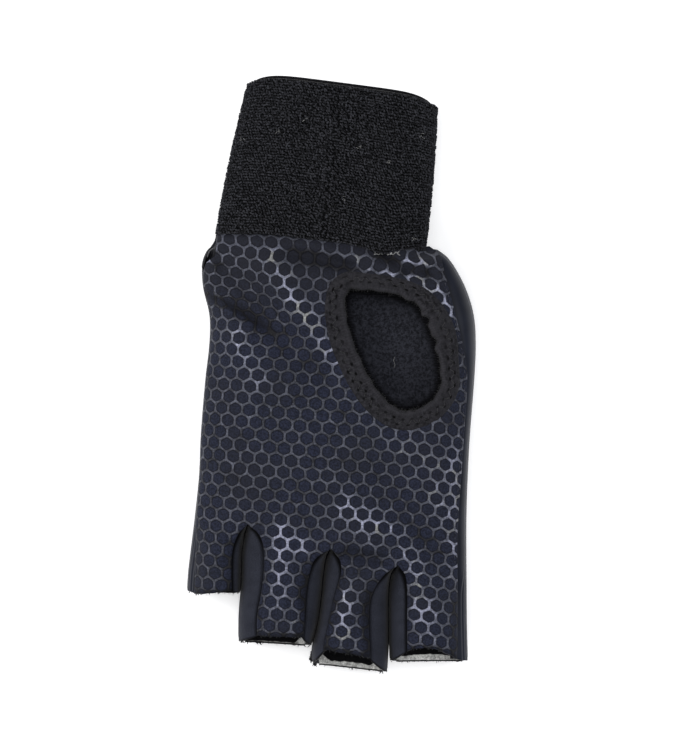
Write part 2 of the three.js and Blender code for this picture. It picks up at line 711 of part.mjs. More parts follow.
const finish = (color, roughness) => new THREE.MeshStandardMaterial({ color, roughness, metalness: 0 });
const PRINTED_PALM = finish(0x33353f, 0.45);
const STRETCH_KNIT = finish(0x2a2d35, 0.8);
const COATED_SIDE = finish(0x2a2d38, 0.5);
const PADDED_BACK = finish(0x23252d, 0.6);
const LOOP_PILE = finish(0x1c1d20, 1);
const SMOOTH_ELASTIC = finish(0x141518, 0.7);
const BINDING_KNIT = finish(0x27272b, 0.9);
const BLACK_FLEECE = finish(0x1e1f23, 1);
const GREY_FOAM = finish(0xa3a29d, 0.9);

// The glove

const glove = new THREE.Group();

function piece(name, geometry, material) {
  const mesh = new THREE.Mesh(geometry, material);
  mesh.name = name;
  glove.add(mesh);
}

piece("palm_panel", cut(palmSheet().solid(), thumbCutter(SEAM_GAP)), PRINTED_PALM);
piece("thumb_binding", bindingRing(), BINDING_KNIT);
GUSSETS.forEach(({ name }, index) => piece(name, gussetSheet(index).solid(), STRETCH_KNIT));
piece("side_panel_little", sidePanelSheet(SPAN_LEFT).solid(), COATED_SIDE);
piece("side_panel_thumb", sidePanelSheet(SPAN_RIGHT).solid(), COATED_SIDE);
piece("padded_back", padSheet().solid(), PADDED_BACK);
piece("hand_lining", handLiningSheet().solid(), BLACK_FLEECE);
FINGERS.forEach(({ name }, finger) =>
  piece(`finger_lining_${name}`, fingerLiningSheet(finger).solid(), GREY_FOAM),
);
piece("cuff", cuffTube(0, CUFF_WALL, 0, CUFF_RINGS), LOOP_PILE);
piece(
  "cuff_lining",
  cuffTube(CUFF_WALL + SEAM_GAP, CUFF_LINING_WALL, CUFF_LINING_RISE, CUFF_RINGS / 2),
  SMOOTH_ELASTIC,
);

// Puts the origin in the middle of the footprint
const bounds = new THREE.Box3().setFromObject(glove);
const middle = bounds.getCenter(new THREE.Vector3());
glove.position.set(-middle.x, -middle.y, -bounds.min.z);

export default glove;
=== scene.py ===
"""A half-finger field hockey glove in cloth, foam and loop pile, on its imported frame.

It lies on its padded back with the palm up, fingers towards -Y and the thumb side towards +X. The shapes
are worked out in millimetres from the same sizes as the solids, and become metres when a mesh is made.
"""

import math

import bpy
import numpy as np
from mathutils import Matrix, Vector, noise


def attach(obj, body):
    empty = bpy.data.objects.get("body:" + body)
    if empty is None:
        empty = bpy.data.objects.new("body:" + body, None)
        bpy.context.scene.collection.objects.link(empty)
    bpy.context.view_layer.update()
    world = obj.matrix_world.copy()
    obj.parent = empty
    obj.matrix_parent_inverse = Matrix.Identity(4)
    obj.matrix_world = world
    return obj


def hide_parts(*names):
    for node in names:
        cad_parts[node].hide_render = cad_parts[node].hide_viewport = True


bl_info = {
    "name": "Half-finger Hockey Glove",
    "version": (1, 0, 0),
    "blender": (4, 5, 0),
    "location": "View3D > Sidebar > Glove",
    "description": "Dresses a field hockey glove in printed cloth, stretch knit, foam and loop pile",
    "category": "Object",
}

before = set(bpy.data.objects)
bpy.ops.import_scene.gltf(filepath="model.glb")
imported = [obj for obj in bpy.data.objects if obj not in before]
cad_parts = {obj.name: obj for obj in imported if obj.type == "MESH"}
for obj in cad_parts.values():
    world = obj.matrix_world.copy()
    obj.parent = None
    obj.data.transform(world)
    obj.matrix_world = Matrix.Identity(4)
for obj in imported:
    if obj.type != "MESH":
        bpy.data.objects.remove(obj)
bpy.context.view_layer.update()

MM = 0.001
# From the glove's own origin to the middle of its footprint
FOOTPRINT_SHIFT = np.array([0.037, 0.2, 0.0])

# Sizes shared with the solids, in millimetres
SEAM_GAP = 0.35
WRIST_GAP = 0.65
RIM_HEIGHT = 10.5
PAD_THICKNESS = 9.0
PAD_EDGE = 2.6
FINGER_EDGE = 3.6
SEAT_DEPTH = 0.7
PALM_FULLNESS = 2.5
PAD_FULLNESS = 3.6
FINGER_DROP = 2.6
TIP_CLEARANCE = 0.4
KNUCKLE_LEFT_Y = -50.5
KNUCKLE_RIGHT_Y = -69.0
WRIST_LEFT_X = -42.8
WRIST_RIGHT_X = 36.4


def lerp(a, b, share):
    return a + (b - a) * share


def stack(*parts):
    """Points from arrays of their coordinates."""
    return np.stack(np.broadcast_arrays(*parts), axis=-1)


def run_along(line):
    """Distance along a line of points from its start."""
    steps = np.linalg.norm(np.diff(line, axis=0), axis=1)
    return np.concatenate([[0], np.cumsum(steps)])


def smoothstep(value, low, high):
    share = np.clip((value - low) / (high - low), 0, 1)
    return share * share * (3 - 2 * share)


class Table:
    """Rows of sizes under named columns, read along the first column on a smooth curve."""

    def __init__(self, columns, *rows):
        self.columns = columns.split()
        self.rows = np.array(sorted(rows), float)

    def at(self, column, place):
        key = self.rows[:, 0]
        value = self.rows[:, self.columns.index(column)]
        last = len(key) - 1
        before = np.maximum(np.arange(last + 1) - 1, 0)
        after = np.minimum(np.arange(last + 1) + 1, last)
        slope = (value[after] - value[before]) / (key[after] - key[before])
        place = np.clip(place, key[0], key[-1])
        i = np.clip(np.searchsorted(key, place, side="right") - 1, 0, last - 1)
        step = key[i + 1] - key[i]
        t = (place - key[i]) / step
        return (
            (2 * t**3 - 3 * t**2 + 1) * value[i]
            + (t**3 - 2 * t**2 + t) * step * slope[i]
            + (3 * t**2 - 2 * t**3) * value[i + 1]
            + (t**3 - t**2) * step * slope[i + 1]
        )


# The hand from above: its outermost edges, the palm panel's own edges, and the height of its middle
OUTLINE = Table(
    "y left right palm_left palm_right crown",
    (54.0, -42.9, 35.8, -42.5, 34.8, 20.5),
    (48.3, -43.3, 36.4, -42.2, 35.4, 21.5),
    (46.6, -45.6, 39.0, -42.5, 37.5, 21.9),
    (43.8, -47.0, 42.8, -43.0, 40.2, 22.6),
    (41.4, -47.7, 44.7, -46.0, 40.8, 23.2),
    (39.4, -48.1, 46.0, -46.9, 41.2, 23.6),
    (32.0, -47.6, 49.8, -47.2, 43.1, 25.0),
    (22.0, -45.2, 52.8, -44.8, 45.6, 26.4),
    (11.0, -45.3, 53.5, -44.9, 48.3, 27.0),
    (-1.0, -46.7, 53.0, -46.3, 50.0, 27.2),
    (-22.8, -48.5, 51.3, -48.0, 48.8, 27.0),
    (-36.1, -49.0, 50.6, -48.5, 47.9, 26.6),
    (-49.4, -50.3, 50.1, -49.4, 46.9, 26.2),
    (-62.7, -51.9, 50.0, -50.1, 46.3, 26.0),
    (-76.0, -53.4, 50.1, -50.6, 46.5, 25.6),
    (-90.8, -53.6, 50.2, -50.8, 46.6, 25.2),
    (-110.0, -53.6, 50.7, -50.8, 46.3, 24.8),
)
WRIST_LINE = Table(
    "x y",
    (40, 47.2),
    (30, 45.7),
    (20, 44.8),
    (13, 46.3),
    (5, 48.5),
    (-8, 50.3),
    (-22, 51.9),
    (-45, 52.6),
)

# The leaf between two fingers: the palm's edges on both sides, and the slit that the two lobes meet on
GUSSETS = {
    "gusset_little_ring": Table(
        "y palm_before slit palm_after",
        (-54.9, -30.7, -30.7, -30.7),
        (-58.6, -34.2, -32.0, -26.4),
        (-65.5, -36.4, -33.1, -24.7),
        (-77.9, -36.7, -33.6, -25.4),
        (-89.0, -36.6, -34.5, -27.3),
        (-102.0, -36.6, -34.6, -27.0),
    ),
    "gusset_ring_middle": Table(
        "y palm_before slit palm_after",
        (-63.8, -0.1, -0.1, -0.1),
        (-67.2, -5.6, -1.8, 2.9),
        (-72.7, -7.9, -2.8, 3.5),
        (-80.0, -9.2, -3.5, 1.5),
        (-91.6, -9.9, -5.0, -1.1),
        (-102.0, -10.5, -7.5, -3.0),
        (-111.0, -10.8, -6.4, -3.2),
    ),
    "gusset_middle_index": Table(
        "y palm_before slit palm_after",
        (-69.9, 24.4, 24.4, 24.4),
        (-73.6, 19.2, 22.2, 27.1),
        (-80.7, 14.9, 21.2, 27.8),
        (-88.0, 13.8, 21.1, 27.8),
        (-111.0, 14.6, 21.2, 27.8),
    ),
}
LEAVES = list(GUSSETS.values())
# How far apart the fingers' tips lie, on each side of a slit
TIP_GAPS = (0.0, 0.0, 0.42)

# Where each finger's palm side and back end, on its two sides, how far the palm side's end arches back,
# and how far the print fades along its two sides, partly an unprinted margin and partly painted shade
FINGER_COLUMNS = ("palm_tip", "back_tip", "arch", "dull_sides")
FINGERS = {
    "little": ((-81.0, -79.6), (-80.4, -81.0), 0, (0.1, 0.5)),
    "ring": ((-95.8, -96.3), (-98.9, -100.6), 0, (0.25, 0.9)),
    "middle": ((-100.9, -104.0), (-107.2, -110.3), 0.3, (0.5, 0.85)),
    "index": ((-101.5, -104.8), (-106.4, -106.2), 2.5, (0.2, 0.6)),
}
TIPS = [dict(zip(FINGER_COLUMNS, row)) for row in FINGERS.values()]
PALM_LINES = {"before": "palm_before", "after": "palm_after", "outer": ("palm_left", "palm_right")}
FULL_LINES = {"before": "slit", "after": "slit", "outer": ("left", "right")}

# Ridges, and valleys where height is negative: two ends, reach to either side, height
FOLDS = (
    ((-41, 41), (3, -6), 6.0, -3.2),
    ((-26, 47), (-1, 4), 6.0, 1.8),
    ((-40, 26), (-24, -10), 6.5, 1.3),
    ((-19, 45), (9, 39), 3.4, -2.0),
    ((15, 43), (32, 39), 3.2, -1.6),
    ((13, -34), (43, -70), 7.5, -2.2),
    ((-13, -36), (17, -62), 8.0, 1.2),
    ((41, -20), (43, -62), 5.0, 0.9),
    ((3, -66), (22, -69), 3.0, -1.2),
)
# The same for the small sharp creases, which only the cloth has
CREASES = (
    ((14.5, 46.5), (25.5, 40.5), 1.6, -1.9),
    ((25.5, 38.2), (38.5, 37.3), 1.4, -1.5),
    ((22.0, 42.0), (38.0, 41.0), 1.7, 1.2),
    ((13.0, 43.0), (27.0, 36.0), 1.6, 1.3),
    ((-2.0, 46.0), (14.0, 39.5), 1.5, 1.0),
    ((-16, 45.2), (11.5, 38.6), 1.9, -1.5),
    ((-44.5, 45.5), (-40.0, 38.0), 1.2, -0.9),
    ((-46, 40.0), (-34, 30.0), 1.6, 0.6),
    ((-40.0, 28.0), (-24.0, 17.5), 1.8, -1.5),
    ((-35, 29.5), (-18, 17.0), 2.0, 0.9),
    ((-22, 22.0), (-2, 0.0), 1.5, 0.4),
    ((-12, 25.0), (-2, 12.0), 1.6, -0.5),
    ((1, -64.5), (23, -68.6), 1.6, -1.6),
    ((3, -60.5), (21, -64.5), 1.9, 1.0),
    ((-29, -56), (-18, -70), 1.6, 0.5),
    ((-36, -56), (-40, -74), 1.8, -0.5),
    ((-15, -62), (-13, -86), 1.5, 0.45),
    ((-22, -66), (-20, -92), 1.6, -0.4),
    ((8, -72), (3, -98), 1.6, 0.4),
    ((28, -46), (44, -62), 1.8, -0.5),
    ((30, -72), (44, -75), 1.4, -0.35),
    ((44, -30), (45, -66), 1.2, 0.35),
)

# Where the print has painted highlights on the ridges, and painted shade in the folds: ends, reach,
# strength.
# Narrow strong ones are painted shade at the bottoms of sharp folds. Elsewhere the print has its plain level
# of painted light.
PLAIN_PRINT_LIGHT = 0.28
PRINT_LIGHT = (
    ((-24, 47), (-13, 24), 4.5, 0.5),
    ((-14, 28), (6, -2), 4.0, 0.62),
    ((-37.3, 20), (-25.5, -8), 4.5, 0.42),
    ((-39, 33), (1, -2), 5.0, -0.22),
    ((-44, 48), (-16, 46), 3.0, 0.25),
    ((-5, 46), (12, 42), 2.5, 0.35),
    ((8.6, 41.3), (15, 38.5), 2.0, 0.5),
    ((17, 37.5), (24.5, 35.5), 2.0, 0.6),
    ((27, 37.5), (34, 33.5), 2.0, 0.95),
    ((26, 42.3), (38, 41.7), 2.2, 0.95),
    ((34, 33), (42, 30.5), 2.0, 0.8),
    ((41, 29), (44, 21), 2.0, 0.95),
    ((22, -21), (36, -32), 6.0, 0.32),
    ((46, -22), (46, -85), 4.8, 0.62),
    ((37, -30), (39, -56), 4.5, 0.35),
    ((20, -42), (40, -68), 4.0, -0.14),
    ((0, -46), (20, -59), 6.0, 0.6),
    ((22, -55), (24, -60), 3.0, 0.4),
    ((27, -60), (34, -90), 5.0, 0.52),
    ((-22, -55), (-8, -66), 4.6, 0.7),
    ((-19, -62), (-18, -86), 4.5, 0.55),
    ((-14, -86), (-7, -98), 3.4, 0.6),
    ((6, -76), (4, -99), 3.8, 0.65),
    ((34, -82), (36, -106), 8.0, 0.42),
    ((14.5, 46.5), (25.5, 40.5), 2.0, -1.15),
    ((25.5, 38.2), (38.0, 37.3), 1.5, -1.0),
    ((-39.5, 27.0), (-21.0, 15.5), 2.2, -0.9),
    ((-48.5, 30.5), (-37.5, 25.5), 1.5, -0.7),
    ((-44.5, 45.5), (-40.0, 38.0), 1.4, -0.7),
    ((1, -64.5), (18, -68.3), 1.8, -0.4),
    ((30, -57), (44, -69), 2.4, -0.3),
    ((-17, 45.4), (11.5, 38.4), 2.3, -0.7),
    ((-45, -8), (-47, -48), 3.5, -0.05),
    ((-43.0, 48.2), (-43.6, 43.4), 0.9, 0.7),
    ((-43.6, 43.2), (-47.2, 40.6), 1.0, 0.9),
)

# The thumb hole's rim, anticlockwise from the wrist's side, with the binding's width
THUMB_RIM = (
    (12.0, 30.9, 6.2),
    (6.2, 30.6, 6.8),
    (5.2, 24.0, 7.6),
    (7.2, 14.5, 8.1),
    (10.8, 5.2, 8.1),
    (14.6, -2.2, 8.0),
    (19.2, -8.4, 7.8),
    (24.6, -12.6, 7.4),
    (30.4, -12.9, 7.0),
    (36.4, -9.8, 6.8),
    (40.0, -4.0, 6.9),
    (39.6, 4.0, 7.2),
    (37.6, 12.5, 8.6),
    (34.8, 20.0, 8.2),
    (30.6, 26.0, 6.8),
    (22.0, 29.7, 6.2),
)

# The cuff: a flattened tube from the wrist line to its rim, which leans towards the thumb
CUFF_LEAN = math.radians(7.4)
CUFF_TOP = {"x": 4.0, "y": 102.6, "z": 11.4, "half_width": 35.5, "half_height": 9.2}
CUFF_BASE = {"x": -3.9, "z": 11.0, "half_width": 39.0, "half_height": 9.8}
CUFF_FULLNESS = 2.5
CUFF_RIM = {"palm": 2.7, "back": 3.6, "ends": 0.7}
CUFF_RIM_SQUARENESS = 7
CUFF_LENGTH = 57
# The loops start this deep in the cuff, in rows this share of their own spacing apart
LOOP_INSET = 0.9
LOOP_ROW_SHARE = 0.95
CUFF_BARREL = 0.6
CUFF_WALL = 2.4
CUFF_LINING_WALL = 1.0
CUFF_LINING_RISE = 1.0

# Flex channels across the padded back
KNUCKLE_CHANNEL = 0.84
FINGER_CHANNEL = 0.5
CHANNEL_DEPTH = 1.6

# Thickness of the cloths
PALM_CLOTH = 1.25
GUSSET_CLOTH = 0.9
SIDE_CLOTH = 0.85
LIP_CLOTH = 0.55
BINDING_CLOTH = 1.5
FLEECE_CLOTH = 0.8
FINGER_LINING_CLOTH = 0.6
CUFF_BACKING_CLOTH = 1.5

# Cells of the grids that the cloth is made of
PALM_CELLS = 26
PALM_ROWS = 112
FINGER_ROWS = 44
SIDE_ROWS = 150
PAD_CELLS = 10
PAD_ROWS = 40
PAD_FINGER_ROWS = 16
WALL_ANGLES = np.linspace(0, math.pi / 2, 14)

# How far below the palm's edge the cloth beside it starts
UNDER_PALM = 1.2

# How far the two side panels' ends are tucked into the wrist seam: sideways, along and down
TUCK_ASIDE = (1.2, -4.6)
TUCK_ALONG = 0.7
TUCK_DOWN = 1.4

# The foam's swelling: how far it may go, and the frames that it takes
SWELL_CAP = 1.1
SWELL_FRAMES = 20

# The honeycomb: the middle of one cell, its stretch across the hand, and the cloth gathered at the wrist
PRINT_CENTRE = (6.1, -50.7)
PRINT_STRETCH = 1.04
GATHERED = 4.3
# Creamy colour that the print's painted highlights take in patches
CREAM_HIGHLIGHT = (0.3, 0.3, 0.285)

BINDING_STITCHES = 38
# Where the binding is pinched and where it stands up: x, y, reach, height
BINDING_DENTS = (
    (7.0, 32.0, 1.6, -1.5),
    (4.6, 34.6, 1.8, 0.7),
    (10.2, 34.0, 1.6, 0.6),
    (0.6, 29.0, 2.2, 0.5),
    (34.5, 24.5, 1.8, -0.8),
    (38.5, 17.5, 2.2, 0.5),
    (41.0, 9.5, 1.6, -0.6),
    (42.5, -0.5, 1.8, -0.5),
    (41.5, -8.0, 1.8, -0.7),
    (33.0, -16.5, 2.0, -0.4),
)

# Where the side panel gapes at the wrist, on the little finger's side, and how its folded edge runs
PUCKER = {
    "top": 48.6,
    "bottom": 38.0,
    "height": 2.2,
    "fold": ((-42.8, 46.7, 14.4), (-45.4, 46.5, 13.6), (-45.9, 43.2, 12.9)),
}

# How far a cut cloth edge wanders
RAGGED_DEPTH = 0.35

# How far the raw foam shows from a finger's end, in its middle and at its two corners
RAW_EDGE = {
    "little": (0.2, 0.2, 0.2),
    "ring": (0.9, 0.1, 3.1),
    "middle": (2.2, 2.8, 3.0),
    "index": (2.7, 0.7, -0.2),
}

# Tufts of cloth at the fingers' corners: x, y, spread across, spread along, threads
TUFTS = (
    (-31.6, -98.6, 1.9, 0.2, 34),
    (-27.6, -99.3, 0.9, 0.2, 14),
    (-7.2, -104.6, 0.5, 1.9, 36),
    (-6.2, -107.3, 0.9, 0.4, 14),
    (18.9, -109.7, 1.0, 0.3, 16),
)

# Lint on the cuff: x, y
LINT = ((-9.5, 93.5), (-19.5, 90.0), (21, 78), (30, 49.8), (5, 65), (-33, 86), (10, 84), (33, 88))

# Soft lights that face the glove: place in metres, size, power, colour
LIGHTS = {
    "key_left": ((-0.95, 0.35, 0.85), 0.6, 8.4, (1.0, 0.99, 1.0)),
    "key_right": ((0.8, 0.2, 1.0), 0.6, 3.8, (0.93, 0.95, 1.0)),
    "foot": ((-0.1, -0.95, 0.8), 0.7, 3.2, (1.0, 1.0, 1.0)),
    "top": ((0.0, 0.3, 1.9), 1.4, 7.8, (1.0, 1.0, 1.0)),
}
STUDIO_LIGHT = 0.36
FLOOR_GLOW = 0.44
FLOOR_SIZE = 6

# The camera hangs straight over the palm, as the photograph was taken
CAMERA_HEIGHT = 1.212
CAMERA_X = 0.003374
CAMERA_Y = 0.000015
FRAME_LONG_SIDE = 0.2775
FOCUS_HEIGHT = 0.012


# Surfaces of the hand


def knuckle_share(x):
    left = OUTLINE.at("palm_left", KNUCKLE_LEFT_Y)
    right = OUTLINE.at("palm_right", KNUCKLE_RIGHT_Y)
    return float((x - left) / (right - left))


TRACK_EDGES = [0.0, *(knuckle_share(leaf.rows[-1, 2]) for leaf in LEAVES), 1.0]
KNUCKLE_LINE = Table(
    "share y",
    (0.0, KNUCKLE_LEFT_Y),
    *((share, leaf.rows[-1, 0]) for share, leaf in zip(TRACK_EDGES[1:4], LEAVES)),
    (1.0, KNUCKLE_RIGHT_Y),
)


def stroke(x, y, start, end, reach):
    """1 along the line from start to end, falling away over reach to both sides and at its ends."""
    dx, dy = end[0] - start[0], end[1] - start[1]
    length = math.hypot(dx, dy)
    share = ((x - start[0]) * dx + (y - start[1]) * dy) / length**2
    across = np.abs((x - start[0]) * dy - (y - start[1]) * dx) / length
    fade = smoothstep(share, -0.1, 0.2) * (1 - smoothstep(share, 0.8, 1.1))
    return fade * np.exp(-((across / reach) ** 2))


def outwardness(x, y):
    """0 in the middle of the hand and 1 on its outermost edges."""
    left, right = OUTLINE.at("left", y), OUTLINE.at("right", y)
    return np.clip(np.abs(2 * x - left - right) / (right - left), 0, 1)


def palm_height(x, y, folds=FOLDS):
    """Height of the palm's surface: arched between the sides, with folds."""
    u = outwardness(x, y)
    arch = (1 - u**PALM_FULLNESS) ** (1 / PALM_FULLNESS)
    relief = sum(height * stroke(x, y, a, b, reach) for a, b, reach, height in folds)
    crown = OUTLINE.at("crown", y)
    return RIM_HEIGHT + (crown - RIM_HEIGHT) * arch + relief * (1 - smoothstep(u, 0.8, 0.99))


def hand_plan(share, down, left, right, gap=SEAM_GAP):
    """Plan of the hand, share of the way across it and down from the wrist to the knuckles."""

    def y_at(part):
        top = WRIST_LINE.at("y", lerp(WRIST_LEFT_X, WRIST_RIGHT_X, part)) - gap
        return lerp(top, KNUCKLE_LINE.at("y", part), down)

    return lerp(OUTLINE.at(left, y_at(0.0)), OUTLINE.at(right, y_at(1.0)), share), y_at(share)


def finger_side(finger, side, y, lines):
    """x of a finger's side, 0 towards the little finger's side and 1 towards the thumb's."""
    if finger + side in (0, len(TIPS)):
        return OUTLINE.at(lines["outer"][side], y)
    column = lines["before"] if side else lines["after"]
    return LEAVES[finger - 1 + side].at(column, y)


def finger_plan(finger, at_root, share, out, lines, tips):
    """Plan of a finger, share of the way across it and out from the knuckles to its tip."""
    edges = TRACK_EDGES[finger : finger + 2]
    root_x, root_y = hand_plan(lerp(*edges, at_root), 1.0, *lines["outer"])
    start = [KNUCKLE_LINE.at("y", edge) for edge in edges]
    y = [lerp(start[side], tips[side], out) for side in (0, 1)]
    x = [finger_side(finger, side, y[side], lines) for side in (0, 1)]
    mixed = lerp(at_root, share, smoothstep(out, 0, 0.6))
    chord_x = lerp(*(finger_side(finger, side, start[side], lines) for side in (0, 1)), at_root)
    fade = (1 - out) ** 2
    return (
        lerp(*x, mixed) + (root_x - chord_x) * fade,
        lerp(*y, mixed) + (root_y - lerp(*start, at_root)) * fade,
    )


def track_shares(track, shares):
    """Draws a track's columns closer together on the hand's outer edges."""
    if track == 0:
        return shares**2
    if track == len(TIPS) - 1:
        return 1 - (1 - shares) ** 1.5
    return shares


def finger_height(share, out, x, y, folds=FOLDS):
    """Height of a finger's palm side, which drops towards its own two sides."""
    across = np.abs(2 * share - 1)
    return palm_height(x, y, folds) - FINGER_DROP * across**2.2 * smoothstep(out, 0, 0.35)


def mottle(points, size, seed=0.0):
    """A smooth random number between -1 and 1 at each point, that varies over size."""
    flat = points.reshape(-1, points.shape[-1]) / size
    values = [noise.noise(Vector((*p[:2], (p[2] if len(p) > 2 else 0) + seed))) for p in flat]
    return np.array(values).reshape(points.shape[:-1])


# Meshes


class Patchwork:
    """Grids of points in millimetres that are welded into one mesh where they meet."""

    def __init__(self):
        self.points, self.cloth, self.wear, self.faces = [], [], [], []
        self.count = 0

    def add(self, points, cloth=None, wear=None, keep=None, flip=False):
        rows, columns = points.shape[:2]
        index = self.count + np.arange(rows * columns).reshape(rows, columns)
        quads = np.stack([index[:-1, :-1], index[1:, :-1], index[1:, 1:], index[:-1, 1:]], axis=-1)
        if flip:
            quads = quads[..., ::-1]
        self.faces.append(quads.reshape(-1, 4) if keep is None else quads[keep])
        self.points.append(points.reshape(-1, 3))
        self.cloth.append(np.zeros((rows * columns, 2)) if cloth is None else cloth.reshape(-1, 2))
        self.wear.append(np.zeros(rows * columns) if wear is None else wear.ravel())
        self.count += rows * columns
        return self

    def mesh(self, name):
        points = np.concatenate(self.points)
        _, first, again = np.unique(np.round(points, 3), axis=0, return_index=True, return_inverse=True)
        faces = again.ravel()[np.concatenate(self.faces)]
        used, compact = np.unique(faces, return_inverse=True)
        faces = [list(dict.fromkeys(face)) for face in compact.reshape(faces.shape).tolist()]
        kept = first[used]
        return make_mesh(
            name,
            points[kept],
            [face for face in faces if len(face) > 2],
            np.concatenate(self.cloth)[kept],
            np.concatenate(self.wear)[kept],
        )


def make_mesh(name, points, faces, cloth=None, wear=None, wrap=None):
    """A mesh in metres. cloth gives its UV map, whose first coordinate starts again after wrap on a ring."""
    mesh = bpy.data.meshes.new(name)
    mesh.from_pydata(((points + FOOTPRINT_SHIFT) * MM).tolist(), [], faces)
    mesh.update()
    if cloth is not None:
        corner = np.zeros(len(mesh.loops), int)
        mesh.loops.foreach_get("vertex_index", corner)
        uv = cloth[corner]
        if wrap:
            quads = uv[:, 0].reshape(-1, 4)
            quads[quads < quads.max(axis=1, keepdims=True) - wrap / 2] += wrap
        mesh.uv_layers.new(name="cloth").data.foreach_set("uv", uv.ravel())
    # A value at each point: the finishes read it as painted light and shade and as the raw foam's reach, and
    # the padded back's swelling reads it as pin weights
    if wear is not None:
        mesh.attributes.new("wear", "FLOAT", "POINT").data.foreach_set("value", wear)
    return mesh


def closed_ring(sections):
    """Faces of a ring of closed sections, whose points run round each section."""
    count, size = sections.shape[:2]
    index = np.arange(count * size).reshape(count, size)
    after = np.roll(index, -1, axis=0)
    return np.stack(
        [index, after, np.roll(after, -1, axis=1), np.roll(index, -1, axis=1)], axis=-1
    ).reshape(-1, 4)


def strands(paths, radius, sides, taper):
    """Points and faces of many thin round threads, one along each path of the same number of points."""
    count, length = paths.shape[:2]
    radius = np.broadcast_to(radius, (count,))
    along = np.gradient(paths, axis=1)
    along /= np.linalg.norm(along, axis=2, keepdims=True) + 1e-9
    lean = np.where(np.abs(along[:, :1, 2:]) < 0.9, [[[0.0, 0.0, 1.0]]], [[[1.0, 0.0, 0.0]]])
    side = np.cross(along, lean)
    side /= np.linalg.norm(side, axis=2, keepdims=True) + 1e-9
    up = np.cross(side, along)
    turn = np.arange(sides) * 2 * math.pi / sides
    size = np.ones(length)
    size[[0, -1]] = taper
    ring = (
        np.cos(turn)[None, None, :, None] * side[:, :, None]
        + np.sin(turn)[None, None, :, None] * up[:, :, None]
    )
    points = paths[:, :, None] + ring * (radius[:, None] * size[None])[:, :, None, None]
    index = np.arange(count * length * sides).reshape(count, length, sides)
    around = np.roll(index, -1, axis=2)
    walls = np.stack([index[:, :-1], around[:, :-1], around[:, 1:], index[:, 1:]], axis=-1)
    faces = walls.reshape(-1, 4).tolist()
    faces += index[:, 0, ::-1].tolist() + index[:, -1].tolist()
    return points.reshape(-1, 3), faces


def put(mesh, finish, nodes=()):
    """Makes a piece of a mesh: it rides on the glove and stands for the named solids."""
    piece = bpy.data.objects.new(mesh.name, mesh)
    bpy.context.scene.collection.objects.link(piece)
    mesh.materials.append(finish)
    mesh.shade_smooth()
    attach(piece, "root")
    if nodes:
        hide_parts(*nodes)
    return piece


def select_only(piece):
    bpy.ops.object.select_all(action="DESELECT")
    piece.select_set(True)
    bpy.context.view_layer.objects.active = piece


def apply_modifier(piece, kind, **settings):
    select_only(piece)
    modifier = piece.modifiers.new(kind.title(), kind)
    for name, value in settings.items():
        setattr(modifier, name, value)
    bpy.ops.object.modifier_apply(modifier=modifier.name)


def face_outwards(piece):
    """Makes every face of a closed piece point out of it."""
    select_only(piece)
    bpy.ops.object.mode_set(mode="EDIT")
    bpy.ops.mesh.select_all(action="SELECT")
    bpy.ops.mesh.normals_make_consistent(inside=False)
    bpy.ops.object.mode_set(mode="OBJECT")


def add_wall(piece, thickness):
    """Gives a sheet of cloth its thickness, inwards from its outer face."""
    apply_modifier(piece, "SOLIDIFY", thickness=thickness * MM, offset=-1.0, use_rim=True)


def declare_sheet(piece):
    """
    Reads the corners of a cloth piece's bounding box, and does nothing more with them.
    """
    low, high = (Vector(c) for c in (piece.bound_box[0], piece.bound_box[6]))


def lay_cloth(name, grid, finish, nodes, thickness):
    """Makes a cloth piece that lies on the padded back, from points with their cloth coordinates and a value
    at each, mostly painted light and shade.
    """
    piece = put(Patchwork().add(*grid).mesh(name), finish, nodes)
    add_wall(piece, thickness)
    declare_sheet(piece)


def lay_threads(name, paths, radius, finish, sides=4, taper=0.55):
    """Makes one piece of many thin round threads."""
    points, faces = strands(paths, radius, sides, taper)
    put(make_mesh(name, points, faces), finish)


# Finishes


